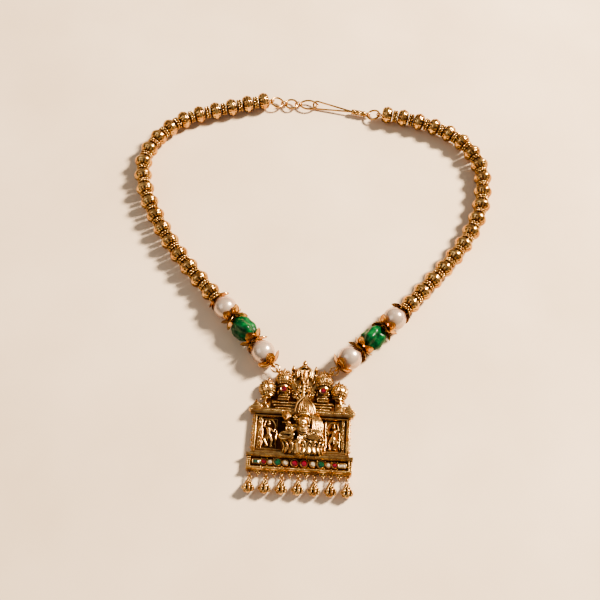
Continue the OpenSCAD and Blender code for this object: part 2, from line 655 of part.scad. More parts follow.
// Pot dome over a neck, cut flat at the pendant's back
module half_dome(at, d, z, neck) {
  difference() {
    union() {
      translate([at.x, at.y, z]) sphere(d = d);
      translate([at.x, at.y - d * 0.42, z]) rotate([90, 0, 0])
        cylinder(d1 = d * 0.82, d2 = d * 0.7, h = neck);
    }
    translate([at.x - d, at.y - 2 * d, -2 * d]) cube([2 * d, 4 * d, 2 * d + 0.1]);
  }
}

// Small standing attendant under each outer dome
module attendant() {
  foot = [cornice_w / 2 - 5.4, y_roof - 0.3, 2.6];
  rod(foot, foot + [0.4, 2.2, 0.3], 0.7);
  rod(foot + [-1.2, 0.2, 0], foot + [0.1, 2.3, 0.3], 0.7);
  rod(foot + [0.2, 2.2, 0.3], foot + [-0.3, 4.2, 0.4], 1.1);
  translate(foot + [-0.4, 5.2, 0.4]) sphere(d = 1.5, $fn = 24);
  rod(foot + [-0.2, 4, 0.4], foot + [1.3, 3.2, 0.4], 0.55);
  rod(foot + [-0.2, 4, 0.4], foot + [-1.6, 4.8, 0.3], 0.55);
}

// Crest: a horseshoe arch round a tear, over a small niche
module crest() {
  translate([0, crest_y + 1.2, 2.9]) torus(4.9, 1.25);
  translate([0, crest_y + 1.5, 2.9]) sphere(d = 2.9);
  translate([0, crest_y + 0.4, 3]) rotate([90, 0, 0]) cylinder(d1 = 2.5, d2 = 1, h = 4.6);
  translate([0, crest_y + 3.6, 2.8]) rotate([-90, 0, 0]) cylinder(d1 = 2.6, d2 = 1.2, h = 1.9);
  translate([0, crest_y + 5.9, 2.8]) sphere(d = 1.7);
  translate([0, crest_y + 6.4, 2.8]) rotate([-90, 0, 0]) cylinder(d1 = 1.3, d2 = 0.3, h = 1.8);
  block(-2.4, y_roof + 3.1, 0.9, 4.8, 6, 2.2);
  both_sides() translate([2.6, crest_y - 2.6, 2.6]) sphere(d = 1.8, $fn = 24);
}

// Ears that the strands' links pass through
module ears() {
  for (side = [LEFT, RIGHT]) {
    along(station(side, 0), station(side, s_loop)) {
      upright_torus(loop_d, loop_wire);
      translate([-loop_d / 2 - 0.9, 0, 0]) lie() cylinder(d = 1.2, h = 1);
    }
    a = station(side, 0) - (loop_d / 2 + 0.5) * unit(station(side, s_loop) - station(side, 0));
    rod(a, [(side == LEFT ? -1 : 1) * inner_dome.x, inner_dome.y, 2], 1.1);
  }
}

module shrine_frame() {
  color(gold) {
    back_plate();
    base_block();
    edge_trim();
    wall_front();
    for (side = [-1, 1])
      translate([side * (panel_x + panel_w / 2), y_wall + panel_low, plate_t])
        scale(panel_h / dancer_h) dancer(side);
    cornice();
    roof();
    ears();
  }
}

// Parts of the seated figure: rounded limbs and swellings, with few faces
module limb(a, b, da, db) {
  hull() {
    translate(a) sphere(d = da, $fn = 8);
    translate(b) sphere(d = db, $fn = 8);
  }
}
module swelling(p, size, turn = [0, 0, 0]) {
  translate(p) rotate(turn) scale(size / 2) sphere(r = 1, $fn = 10);
}

lotus_petals = 9;
module lotus_seat() {
  swelling([0, 0, 1.9], [15, 5.2, 5.6]);
  for (k = [0 : lotus_petals - 1]) {
    a = (k - (lotus_petals - 1) / 2) * 17;
    swelling([7.1 * sin(a), -0.2, 1.7 + 3.1 * cos(a)], [2.1, 5.4, 1.6], [0, a, -a / 6]);
  }
  swelling([0, -3.5, 2.7], [4.4, 3, 2.6]);
  for (k = [-1 : 1]) swelling([k * 1.5, -3.9, 3.4], [1.3, 2.4, 1.2], [0, 0, -k * 14]);
}
module folded_legs() {
  limb([-1, 2.9, 3.9], [-6.4, 2.8, 3.7], 3.4, 3);
  limb([-6.4, 2.8, 3.7], [1.2, 1.8, 5.3], 2.6, 1.8);
  limb([1.4, 3.2, 4.1], [6.9, 3.2, 3.7], 3.6, 3.2);
  limb([6.9, 3.2, 3.7], [0.6, 1.9, 5.6], 2.8, 1.8);
  swelling([3.6, 3.4, 5], [5, 3.6, 2.6], [0, 0, 15]);
}
module torso_and_head() {
  limb([0.1, 4.2, 3.5], [0, 6.2, 3.7], 3.8, 3.2);
  limb([0, 6.4, 3.7], [0, 7.9, 3.7], 3.4, 4.2);
  limb([-1.9, 8.1, 3.5], [1.9, 8.1, 3.5], 2, 2);
  both_sides() swelling([0.95, 7.3, 5.3], [1.8, 1.8, 1.6]);
  limb([0, 8.6, 3.9], [0, 9.6, 4.1], 1.5, 1.5);
  swelling([0, 10.7, 4.5], [3.1, 3.7, 3.4]);
  both_sides() swelling([1.5, 10.3, 4.1], [0.8, 1.8, 0.9]);
}
module tall_crown() {
  swelling([0, 12.4, 4.3], [4.4, 1.2, 3.8]);
  limb([0, 13.1, 3.9], [0, 16.4, 3.2], 4.1, 1.8);
  limb([0, 16.2, 3.3], [0, 17.8, 3.1], 1.6, 0.9);
  both_sides() limb([1.7, 12.6, 3.3], [2.4, 14.2, 2.9], 1, 0.6);
}
module four_arms() {
  both_sides() {
    limb([2.3, 8.2, 3.3], [5.2, 7.4, 2.7], 1.7, 1.4);
    limb([5.2, 7.4, 2.7], [5.6, 9.7, 3], 1.3, 1);
    swelling([5.6, 10.5, 3.2], [2, 2.4, 1.8]);
    limb([2.2, 7.7, 3.9], [4.6, 5.4, 4], 1.8, 1.4);
    limb([5.2, 7.2, 2.6], [6.6, 3.8, 2.6], 1.3, 1.3);
  }
  limb([-4.6, 5.4, 4], [-4.6, 6.6, 5.5], 1.3, 1.2);
  swelling([-4.6, 6.9, 5.8], [1.7, 2, 1]);
  limb([4.6, 5.4, 4], [4.2, 4.6, 5.7], 1.3, 1.2);
  swelling([4.2, 4.4, 6], [1.9, 1.6, 1]);
}
figure_drawn_h = 23.2;                              // height that the figure's own sizes are drawn for
figure_gap = 0.15;                                  // between the figure and the mouldings behind it
module behind_figure() {
  reach = figure_h;
  block(-reach, y_low - reach, 0, 2 * reach, reach + base_h + 0.15, base_rise + 0.2 + figure_gap);
  block(-reach, y_wall, 0, 2 * reach, 1.9 + figure_gap, pilaster_rise + figure_gap);
  block(-reach, y_cornice - 1.2, 0, 2 * reach, reach, cornice_rise + figure_gap);
}
module goddess_figure() {
  color(gold) {
    difference() {
      translate(figure_at) scale(figure_h / figure_drawn_h) {
        lotus_seat();
        folded_legs();
        torso_and_head();
        tall_crown();
        four_arms();
      }
      behind_figure();
      translate([-2 * figure_h, -2 * figure_h, -figure_h])
        cube([4 * figure_h, 4 * figure_h, figure_h + figure_at.z]);
    }
    translate([figure_at.x, figure_at.y + post_y, 0.1]) cylinder(d = post_d, h = figure_at.z + 3, $fn = 24);
  }
}

// Drop: a cone of granules under an eye, with a ring of larger balls and one ball below
jump_offset = 0.12;                                 // how far the jump ring's wire runs off an eye's middle
eye_step = drop_eye_d + drop_eye_wire + 0.12;
jump_d = eye_step + 2 * jump_offset;
jump_z = (jump_d + jump_wire) / 2 + 0.02;
y_drop_eye = y_eye - eye_step;
drop_tilt = asin((drop_d / 2 + 0.03 - eye_z) / (drop_len - 1.1));
module ball_ring(n, r, z, d, from = 0) {
  for (k = [0 : n - 1]) rotate([0, 0, 360 / n * k + from]) translate([r, 0, z]) sphere(d = d, $fn = 24);
}
module drop_solid() {
  tip_d = drop_d * 0.42;
  ball_d = drop_d * 0.27;
  granule_d = drop_d * 0.2;
  cone_from = drop_eye_d / 2 + 0.1;
  cone_len = drop_len - cone_from - 1.1;
  torus(drop_eye_d, drop_eye_wire);
  rotate([90 - drop_tilt, 0, 0]) {
    translate([0, 0, cone_from]) cylinder(d1 = 0.9, d2 = drop_d * 0.66, h = cone_len);
    translate([0, 0, cone_from + cone_len - 0.02]) cylinder(d1 = drop_d * 0.66, d2 = drop_d * 0.3, h = 0.7);
    translate([0, 0, drop_len - tip_d * 0.36]) sphere(d = tip_d);
    ball_ring(8, drop_d / 2 - ball_d / 2, cone_from + cone_len, ball_d);
    ball_ring(6, drop_d * 0.25, cone_from + cone_len * 0.6, granule_d, 30);
    ball_ring(4, drop_d * 0.14, cone_from + cone_len * 0.25, granule_d);
  }
}
module drop(i) { color(gold) translate([drop_x(i), y_drop_eye, eye_z]) drop_solid(); }
module drop_rings() {
  color(gold) for (i = [0 : drop_count - 1])
    translate([drop_x(i), y_eye - eye_step / 2, jump_z]) rotate([90, 0, 90]) torus(jump_d, jump_wire);
}

shrine_frame();
goddess_figure();
dome_ruby(-1);  // dome_ruby_left
dome_ruby(1);  // dome_ruby_right
for (i = [1 : 12]) base_stone(i);
for (i = [1 : 7]) drop(i - 1);
drop_rings();
pendant_link(LEFT);  // pendant_link_left
pendant_link(RIGHT);  // pendant_link_right
pearl_at(LEFT, s_pearl_low);  // pearl_left_lower
pearl_at(LEFT, s_pearl_up);  // pearl_left_upper
pearl_at(RIGHT, s_pearl_low);  // pearl_right_lower
pearl_at(RIGHT, s_pearl_up);  // pearl_right_upper
green_at(LEFT);  // carved_green_left
green_at(RIGHT);  // carved_green_right
bead_caps(LEFT);  // bead_caps_left
bead_caps(RIGHT);  // bead_caps_right
bead_string(LEFT);  // bead_string_left
bead_string(RIGHT);  // bead_string_right
thread(LEFT);  // thread_left
thread(RIGHT);  // thread_right
clasp_ring(left_end, link_1 - half_spread);  // clasp_ring_1
clasp_ring(link_1 + half_spread, link_2 - half_spread);  // clasp_ring_2
clasp_ring(hook_loop_at, right_end);  // clasp_ring_3
clasp_links();
clasp_eye();
clasp_hook();
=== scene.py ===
from math import asin, atan2, copysign, cos, degrees, hypot, pi, radians, sin, sqrt, tan, tau

import bmesh
import bpy
from mathutils import Matrix, Vector


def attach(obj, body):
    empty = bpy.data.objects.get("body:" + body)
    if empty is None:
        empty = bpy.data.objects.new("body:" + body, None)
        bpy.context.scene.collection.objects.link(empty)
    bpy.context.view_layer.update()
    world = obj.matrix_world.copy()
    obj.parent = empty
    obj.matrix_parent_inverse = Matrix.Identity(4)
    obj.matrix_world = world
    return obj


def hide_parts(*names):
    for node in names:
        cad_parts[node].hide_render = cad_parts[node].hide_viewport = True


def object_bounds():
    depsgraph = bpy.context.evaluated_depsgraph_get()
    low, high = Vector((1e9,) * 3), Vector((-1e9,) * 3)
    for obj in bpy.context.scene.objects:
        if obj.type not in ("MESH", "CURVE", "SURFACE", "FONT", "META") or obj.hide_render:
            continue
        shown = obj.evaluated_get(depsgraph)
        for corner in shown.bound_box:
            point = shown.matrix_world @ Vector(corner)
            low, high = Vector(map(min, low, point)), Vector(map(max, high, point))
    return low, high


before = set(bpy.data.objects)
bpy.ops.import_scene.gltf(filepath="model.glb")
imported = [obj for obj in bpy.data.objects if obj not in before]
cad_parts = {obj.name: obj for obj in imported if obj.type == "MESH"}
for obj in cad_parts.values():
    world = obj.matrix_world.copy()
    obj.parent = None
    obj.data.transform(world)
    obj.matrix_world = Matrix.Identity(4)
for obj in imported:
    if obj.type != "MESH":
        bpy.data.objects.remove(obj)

cad_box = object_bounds()
bpy.ops.object.select_all(action="DESELECT")
MM = 0.001


# Ribbed beads. Each is stamped in brass as two fluted half shells that meet in a plain polished band, gilded,
# darkened between the ribs and drilled. Rings of soldered granules part them on the wire.
def pick_faces(test):
    """In edit mode, selects the faces whose centre and normal pass a test."""
    bpy.ops.mesh.select_mode(type="FACE")
    bpy.ops.mesh.select_all(action="DESELECT")
    shape = bmesh.from_edit_mesh(bpy.context.object.data)
    for face in shape.faces:
        face.select_set(bool(test(face.calc_center_median(), face.normal)))
    bmesh.update_edit_mesh(bpy.context.object.data)


def pick_points(test):
    """In edit mode, selects the points that pass a test."""
    bpy.ops.mesh.select_mode(type="VERT")
    bpy.ops.mesh.select_all(action="DESELECT")
    shape = bmesh.from_edit_mesh(bpy.context.object.data)
    for point in shape.verts:
        point.select_set(bool(test(point.co)))
    shape.select_flush(True)
    bmesh.update_edit_mesh(bpy.context.object.data)


def smooth(angle=40):
    """Smooths the active piece, with edges sharper than the angle kept crisp."""
    bpy.ops.object.shade_smooth_by_angle(angle=radians(angle))


def opened_up():
    """Enters edit mode with the whole active piece selected."""
    bpy.ops.object.mode_set(mode="EDIT")
    bpy.ops.mesh.select_all(action="SELECT")


def closed_up():
    """Turns all faces outwards and leaves edit mode."""
    bpy.ops.mesh.select_all(action="SELECT")
    bpy.ops.mesh.normals_make_consistent(inside=False)
    bpy.ops.object.mode_set(mode="OBJECT")
    return bpy.context.object


def turned(steps, sides, unit=MM):
    """Solid turned on the Z axis: a disc drawn up and narrowed through (radius, height) steps."""
    steps = [(radius * unit, height * unit) for radius, height in steps]
    bpy.ops.mesh.primitive_circle_add(vertices=sides, radius=steps[0][0], fill_type="NGON",
                                      location=(0, 0, steps[0][1]))
    bpy.ops.object.transform_apply()
    opened_up()
    for (r, z), (r_next, z_next) in zip(steps, steps[1:]):
        bpy.ops.mesh.extrude_region_move(TRANSFORM_OT_translate={"value": (0, 0, z_next - z)})
        bpy.ops.transform.resize(value=(r_next / r, r_next / r, 1), center_override=(0, 0, 0))
    return closed_up()


def shaped(piece, kind, **settings):
    """Applies a modifier of a kind, with its settings, to a piece."""
    bpy.context.view_layer.objects.active = piece
    tool = piece.modifiers.new(kind, kind)
    for name, value in settings.items():
        setattr(tool, name, value)
    bpy.ops.object.modifier_apply(modifier=kind)


def drill(radius):
    """Drills the active solid through along Z: its two flat ends are inset to the bore and joined."""
    bpy.ops.object.mode_set(mode="EDIT")
    pick_faces(lambda c, n: abs(n.z) > 0.99 and Vector((c.x, c.y)).length < radius / 10)
    shape = bmesh.from_edit_mesh(bpy.context.object.data)
    end = next(face for face in shape.faces if face.select)
    reach = max(Vector((point.co.x, point.co.y)).length for point in end.verts)
    bpy.ops.mesh.inset(thickness=(reach - radius) * cos(pi / len(end.verts)))
    bpy.ops.mesh.bridge_edge_loops()
    bpy.ops.object.mode_set(mode="OBJECT")


def loose_parts(node):
    """Middles and sizes of a node's separate solids, from the pendant up to the clasp."""
    shape = bmesh.new()
    shape.from_mesh(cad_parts[node].data)
    bmesh.ops.remove_doubles(shape, verts=shape.verts, dist=0.001 * MM)
    left, found = set(shape.verts), []
    while left:
        reached = [left.pop()]
        for point in reached:
            fresh = {edge.other_vert(point) for edge in point.link_edges} & left
            left -= fresh
            reached.extend(fresh)
        low = Vector([min(point.co[k] for point in reached) for k in range(3)])
        high = Vector([max(point.co[k] for point in reached) for k in range(3)])
        found.append(((low + high) / 2, high - low))
    shape.free()
    return sorted(found, key=lambda part: part[0].y)


def facing(place, way, turn=0):
    """Matrix that sets a piece made on the Z axis at a place, with its axis along way and turned on it."""
    along = Vector(way).normalized()
    side = Vector((0, 0, 1)).cross(along)
    side = side.normalized() if side.length > 0.01 else Vector((1, 0, 0))
    axes = Matrix((side, along.cross(side), along)).transposed().to_4x4()
    return Matrix.Translation(place) @ axes @ Matrix.Rotation(turn, 4, "Z")


def copies(piece, places, keep=False):
    """Copies of a modelled piece, each with its own mesh, set by matrices; the model is used up or kept."""
    made = []
    for place in places:
        twin = piece.copy()
        twin.data = piece.data.copy()
        twin.matrix_world = place @ piece.matrix_world
        bpy.context.collection.objects.link(twin)
        made.append(twin)
    if not keep:
        bpy.data.objects.remove(piece)
    return made


def picked(*pieces):
    """Selects these pieces alone; the first is the active one."""
    bpy.ops.object.select_all(action="DESELECT")
    for piece in pieces:
        piece.select_set(True)
    bpy.context.view_layer.objects.active = pieces[0]


def joined(name, parts):
    """One object from several, its origin at the frame's own and its place in its mesh."""
    picked(*parts)
    if len(parts) > 1:
        bpy.ops.object.join()
    bpy.ops.object.transform_apply()
    bpy.context.object.name = name
    bpy.context.object.data.name = name
    return bpy.context.object


def fitted(piece, finish, slot, *nodes):
    """Gives a finished piece its finish, the body it rides on and the solids it stands for; slot is not used.
    """
    piece.data.materials.clear()
    piece.data.materials.append(finish)
    for face in piece.data.polygons:
        face.material_index = 0
    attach(piece, "root")
    if nodes:
        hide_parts(*nodes)
    return piece


def ball(diameter, at=(0, 0, 0), segments=8, rings=6):
    """Small soldered ball with few faces, in millimetres."""
    bpy.ops.mesh.primitive_uv_sphere_add(segments=segments, ring_count=rings, radius=diameter / 2 * MM,
                                         location=Vector(at) * MM)
    bpy.ops.object.shade_smooth()
    return bpy.context.object


def ring_places(count, radius, height, start=0):
    """Even places round the Z axis, in millimetres."""
    turns = [tau * (k + start) / count for k in range(count)]
    points = [Vector((radius * cos(a), radius * sin(a), height)) for a in turns]
    return [Matrix.Translation(point * MM) for point in points]


def wire_ring(radius, thick, at=(0, 0, 0), around=20, across=8):
    """Closed ring of round wire that lies flat; thick is the wire's radius, in millimetres."""
    bpy.ops.mesh.primitive_torus_add(major_segments=around, minor_segments=across, major_radius=radius * MM,
                                     minor_radius=thick * MM, location=Vector(at) * MM)
    bpy.ops.object.shade_smooth()
    return bpy.context.object


def new_finish(name):
    """A new finish: the material, its shader and its piece's own coordinates."""
    material = bpy.data.materials.new(name)
    material.use_nodes = True
    nodes = material.node_tree.nodes
    return material, nodes["Principled BSDF"], nodes.new("ShaderNodeTexCoord").outputs["Object"]


def feed(node, inputs):
    """Sets a node's inputs: a socket is linked, any other value is set."""
    for name, value in inputs.items():
        if isinstance(value, bpy.types.NodeSocket):
            node.id_data.links.new(value, node.inputs[name])
        else:
            node.inputs[name].default_value = value
    return node


def noise(place, size, detail=2):
    """Noise whose patches are about size across."""
    node = place.id_data.nodes.new("ShaderNodeTexNoise")
    return feed(node, {"Vector": place, "Scale": 1 / size, "Detail": detail}).outputs["Fac"]


def span(value, low, high, to_low=0, to_high=1):
    """Maps a value from one span to another, kept inside it."""
    node = value.id_data.nodes.new("ShaderNodeMapRange")
    ends = {"From Min": low, "From Max": high, "To Min": to_low, "To Max": to_high}
    return feed(node, {"Value": value, **ends}).outputs["Result"]


def ramp(factor, *stops):
    """Colour ramp over a factor, from each (place, colour)."""
    node = factor.id_data.nodes.new("ShaderNodeValToRGB")
    steps = node.color_ramp.elements
    while len(steps) < len(stops):
        steps.new(1)
    for step, (at, colour) in zip(steps, stops):
        step.position = at
        step.color = (*colour, 1)
    return feed(node, {"Fac": factor}).outputs["Color"]


def blend(tree, factor, first, second, way="MIX"):
    """Mix of two colours; the factor and each colour are a socket or a value."""
    node = tree.nodes.new("ShaderNodeMix")
    node.data_type = "RGBA"
    node.blend_type = way
    colours = [(*colour, 1) if isinstance(colour, tuple) else colour for colour in (first, second)]
    return feed(node, {0: factor, 6: colours[0], 7: colours[1]}).outputs[2]


def relief(*heights):
    """Bumps from (height socket, depth, strength) in turn, each laid over the last."""
    under = {}
    for height, depth, strength in heights:
        node = height.id_data.nodes.new("ShaderNodeBump")
        feed(node, {"Height": height, "Distance": depth, "Strength": strength, **under})
        under = {"Normal": node.outputs["Normal"]}
    return node.outputs["Normal"]


def gold_finish(name, bright, warm, oxide, reach, polish, open_from=0.25, open_to=0.72):
    """Gilt metal: two tones in soft patches, oxide in hollows narrower than reach, fine cast grain."""
    material, shader, place = new_finish(name)
    tree = material.node_tree
    patches = noise(place, 2.2 * MM)
    flecks = noise(place, 0.5 * MM, 3)
    grain = noise(place, 0.16 * MM, 3)
    worn = ramp(flecks, (0.3, (0.62, 0.56, 0.5)), (0.5, (1, 1, 1)))
    tone = blend(tree, 0.5, ramp(patches, (0.35, warm), (0.62, bright)), worn, "MULTIPLY")
    hollows = tree.nodes.new("ShaderNodeAmbientOcclusion")
    hollows.samples = 6
    hollows.only_local = True
    bare = span(feed(hollows, {"Distance": reach}).outputs["AO"], open_from, open_to)
    rough = tree.nodes.new("ShaderNodeMath")
    rough.operation = "ADD"
    feed(rough, {0: span(bare, 0, 1, 0.6, polish), 1: span(flecks, 0.3, 0.7, 0.08, -0.04)})
    feed(shader, {"Base Color": blend(tree, bare, oxide, tone), "Metallic": span(bare, 0, 0.5, 0.7, 1),
                  "Roughness": rough.outputs["Value"],
                  "Normal": relief((patches, 0.05 * MM, 0.3), (grain, 0.02 * MM, 0.3))})
    return material


BEAD_RADIUS = 3.75 * MM
BEAD_HALF = 2.2 * MM
BORE_RADIUS = 0.75 * MM
RIBS = 15
SHOULDER_RADIUS, NECK_RADIUS, RIB_LOW = 3.32 * MM, 1.5 * MM, 0.8 * MM
flank = [(NECK_RADIUS + (SHOULDER_RADIUS - NECK_RADIUS) * cos(a),
          RIB_LOW + (BEAD_HALF - RIB_LOW) * sin(a))
         for a in (radians(15 * k) for k in range(7))]
band = [(BEAD_RADIUS, 0), (BEAD_RADIUS - 0.03 * MM, 0.35 * MM), (BEAD_RADIUS - 0.14 * MM, 0.66 * MM)]
upper = band + flank
bead = turned([(r, -z) for r, z in reversed(upper[1:])] + upper, 3 * RIBS, 1)
drill(BORE_RADIUS)


def rib_place(point):
    """Place round a bead in thirds of a rib; a whole number on each line of points."""
    return atan2(point.y, point.x) / tau * 3 * RIBS + 0.5


def on_flank(point):
    """Whether a point lies on the fluted part of a bead."""
    return RIB_LOW < abs(point.z) < 0.97 * BEAD_HALF and Vector((point.x, point.y)).length > NECK_RADIUS


bpy.ops.object.mode_set(mode="EDIT")
pick_faces(lambda c, n: on_flank(c) and rib_place(c) % 3 < 1)
bpy.ops.mesh.extrude_region_shrink_fatten(TRANSFORM_OT_shrink_fatten={"value": -0.42 * MM})
pick_points(lambda p: on_flank(p) and round(rib_place(p)) % 3 == 2)
bpy.ops.transform.shrink_fatten(value=0.1 * MM)
bpy.ops.object.mode_set(mode="OBJECT")
smooth(50)

granule_places = ring_places(12, 2.17, 0.52) + ring_places(12, 2.17, -0.52, 0.5)
spacer_core = turned([(1.7, -1.0), (2.0, -0.8), (2.0, 0.8), (1.7, 1.0)], 24)
drill(BORE_RADIUS)
smooth()
spacer = joined("spacer", [spacer_core, *copies(ball(1.06), granule_places)])

daisy_core = turned([(0.95, -0.42), (1.1, -0.3), (1.1, 0.3), (0.95, 0.42)], 20)
drill(BORE_RADIUS)
smooth()
daisy = joined("daisy", [daisy_core, *copies(ball(0.98), ring_places(7, 1.21, 0))])

bead_gold = gold_finish("bead_gold", (0.78, 0.49, 0.20), (0.50, 0.245, 0.09), (0.03, 0.008, 0.003),
                        0.9 * MM, 0.17, 0.55, 0.86)
SPACER_FROM, BEAD_FROM, PEARL_FROM = 4.4 * MM, 6.5 * MM, 8.3 * MM
strand = {}
for side in ("left", "right"):
    stones = [f"pearl_{side}_lower", f"carved_green_{side}", f"pearl_{side}_upper"]
    line = sorted(loose_parts(f"bead_string_{side}") + [loose_parts(stone)[0] for stone in stones],
                  key=lambda part: part[0].y)
    middles = [middle for middle, size in line]
    ways = [b - a for a, b in zip([middles[0]] + middles, middles[1:] + [middles[-1]])]
    strand[side] = [(facing(middle, way, 0.7 * k), size.z)
                    for k, ((middle, size), way) in enumerate(zip(line, ways))]
kinds = ((bead, BEAD_FROM, PEARL_FROM), (spacer, SPACER_FROM, BEAD_FROM), (daisy, 0, SPACER_FROM))
for side in ("left", "right"):
    strung = []
    for model, low, high in kinds:
        places = [place for place, height in strand[side] if low < height < high]
        strung += copies(model, places, keep=True)
    fitted(joined(f"ribbed_beads_{side}", strung), bead_gold, "bead_gold", f"bead_string_{side}")
for model, low, high in kinds:
    bpy.data.objects.remove(model)


# Bead caps. Five pointed petals of gilt sheet with a wire rim, soldered to a little ring and pressed round
# the bead; the tips stand slightly off it. Two caps hold every pearl and green stone.
CAP_SEAT = 4.62 * MM
CAP_REACH = radians(55)
PETALS = 5
PETAL_NEAR, PETAL_HALF_WIDTH, SHEET = 0.5 * MM, 1.85 * MM, 0.28 * MM
petal_half = (CAP_SEAT * tan(CAP_REACH) - PETAL_NEAR) / 2
bpy.ops.mesh.primitive_circle_add(vertices=24, radius=1, fill_type="NGON", rotation=(0, 0, tau / 48))
bpy.ops.object.transform_apply()
opened_up()
bpy.ops.transform.resize(value=(petal_half, PETAL_HALF_WIDTH, 1), center_override=(0, 0, 0))
pick_points(lambda p: p.x > 0.6 * petal_half)
bpy.ops.transform.resize(value=(1, 0.82, 1), center_override=(0, 0, 0))
bpy.ops.mesh.select_mode(type="FACE")
bpy.ops.mesh.select_all(action="SELECT")
for share in (0.8, 0.75, 0.6):
    bpy.ops.mesh.extrude_region_move()
    bpy.ops.transform.resize(value=(share, share, 1), center_override=(0, 0, 0))
bpy.ops.mesh.poke()
bpy.ops.mesh.select_all(action="SELECT")
bpy.ops.transform.translate(value=(PETAL_NEAR + petal_half, 0, CAP_SEAT))
petal = closed_up()
shaped(petal, "CAST", size=CAP_SEAT, factor=0.97)
shaped(petal, "SOLIDIFY", thickness=SHEET, offset=1)


def deep_in_petal(centre, normal):
    """Whether a face lies on the outside of a petal, within its rim."""
    flat = centre * (CAP_SEAT / centre.z)
    along = (flat.x - PETAL_NEAR - petal_half) / (0.8 * petal_half)
    across = flat.y / (0.8 * PETAL_HALF_WIDTH)
    return centre.length > CAP_SEAT + 0.1 * MM and normal.dot(centre) > 0 and along ** 2 + across ** 2 < 1


bpy.ops.object.mode_set(mode="EDIT")
pick_faces(deep_in_petal)
bpy.ops.mesh.extrude_region_shrink_fatten(TRANSFORM_OT_shrink_fatten={"value": -0.22 * MM})
bpy.ops.object.mode_set(mode="OBJECT")
petals = copies(petal, [Matrix.Rotation(tau * k / PETALS, 4, "Z") for k in range(PETALS)])
eyelet = wire_ring(1.15, 0.24, (0, 0, CAP_SEAT / MM + 0.2), 24)
collar = turned([(1.9, -0.35), (1.9, -0.1), (1.0, 0.22)], 24)
collar.location = (0, 0, CAP_SEAT)
cap = joined("cap", [*petals, collar, eyelet])
smooth(55)
cap_gold = gold_finish("cap_gold", (0.74, 0.45, 0.18), (0.46, 0.22, 0.08), (0.045, 0.012, 0.005),
                       1.0 * MM, 0.2, 0.45, 0.86)
GREEN_STRETCH = 0.75 * MM
GREEN_FROM = 9.25 * MM
for side in ("left", "right"):
    stones = [(place, height < GREEN_FROM) for place, height in strand[side] if height > PEARL_FROM]
    cups = []
    for k, (place, is_pearl) in enumerate(stones):
        out = 0 if is_pearl else GREEN_STRETCH
        for way, angle in ((1, 0), (-1, pi)):
            seat = Matrix.Translation((0, 0, way * out)) @ Matrix.Rotation(angle, 4, "X")
            cups.append(place @ seat @ Matrix.Rotation(0.45 * k + 0.3 * way, 4, "Z"))
    made = copies(cap, cups, keep=True)
    fitted(joined(f"petal_caps_{side}", made), cap_gold, "bead_gold", f"bead_caps_{side}")
bpy.data.objects.remove(cap)


# Pearls. Four cream imitation pearls: glass balls under a lustrous coat, drilled through and strung
# between two caps each.
PEARL_RADIUS = 4.5 * MM


def drilled_ball(radius):
    """Ball on the Z axis whose two poles are cut away and joined by a bore."""
    bpy.ops.mesh.primitive_uv_sphere_add(segments=48, ring_count=28, radius=radius)
    bpy.ops.object.mode_set(mode="EDIT")
    pick_points(lambda p: abs(p.z) > sqrt(radius ** 2 - BORE_RADIUS ** 2))
    bpy.ops.mesh.delete(type="VERT")
    bpy.ops.mesh.select_all(action="SELECT")
    bpy.ops.mesh.region_to_loop()
    bpy.ops.mesh.bridge_edge_loops()
    return closed_up()


pearl_coat, shader, place = new_finish("pearl_coat")
cloud = noise(place, 3.5 * MM, 3)
pits = noise(place, 0.9 * MM)
tone = ramp(cloud, (0.3, (0.56, 0.43, 0.33)), (0.7, (0.66, 0.54, 0.44)))
# Painted shade: as the camera sees it, the cream turns a darker pink-brown towards the pearl's outline; a
# pinkish overtone of the pearl, deepened into painted shade.
edge = feed(pearl_coat.node_tree.nodes.new("ShaderNodeLayerWeight"), {"Blend": 0.55})
feed(shader, {
    "Base Color": blend(pearl_coat.node_tree, edge.outputs["Facing"], tone, (0.46, 0.28, 0.19)),
    "Roughness": span(cloud, 0.3, 0.7, 0.2, 0.28),
    "Metallic": 0.5,
    "Subsurface Weight": 0.15,
    "Subsurface Radius": (1, 0.6, 0.45),
    "Subsurface Scale": 1.2 * MM,
    "Coat Weight": 0.8,
    "Coat Roughness": 0.08,
    "Sheen Weight": 0.15,
    "Sheen Tint": (1, 0.8, 0.75, 1),
    "Normal": relief((pits, 0.02 * MM, 0.3))
})
for side in ("left", "right"):
    pearls = [place for place, height in strand[side] if PEARL_FROM < height < GREEN_FROM]
    for name, place in zip(("lower", "upper"), pearls):
        pearl = copies(drilled_ball(PEARL_RADIUS), [place])
        fitted(joined(f"coated_pearl_{side}_{name}", pearl), pearl_coat, "pearl", f"pearl_{side}_{name}")
        smooth(60)


# Carved green stones. Two dyed quartz beads, cut with four slanting rounded lobes and leaf veins, then
# polished, drilled and strung between two caps each.
GREEN_LOBES, LOBE_DEPTH, VEIN_DEPTH = 4, 1.05 * MM, 0.28 * MM


def carve(point):
    """Draws a point in where a groove or a vein runs along the stone."""
    around = atan2(point.y, point.x)
    radius = hypot(point.x, point.y)
    share = radius / PEARL_RADIUS
    up = point.z / MM
    groove = LOBE_DEPTH * share * (0.5 - 0.5 * cos(around * GREEN_LOBES + 0.35 * up)) ** 1.6
    vein = VEIN_DEPTH * share * (1 + cos(3 * around - 1.6 * up) * cos(2 * around + 1.1 * up))
    swell = 1 + 0.055 * share
    inner = max(radius * swell - groove - vein, BORE_RADIUS)
    point.x *= inner / radius
    point.y *= inner / radius
    point.z += copysign(GREEN_STRETCH * min(1, abs(point.z) / (1.2 * MM)), point.z)


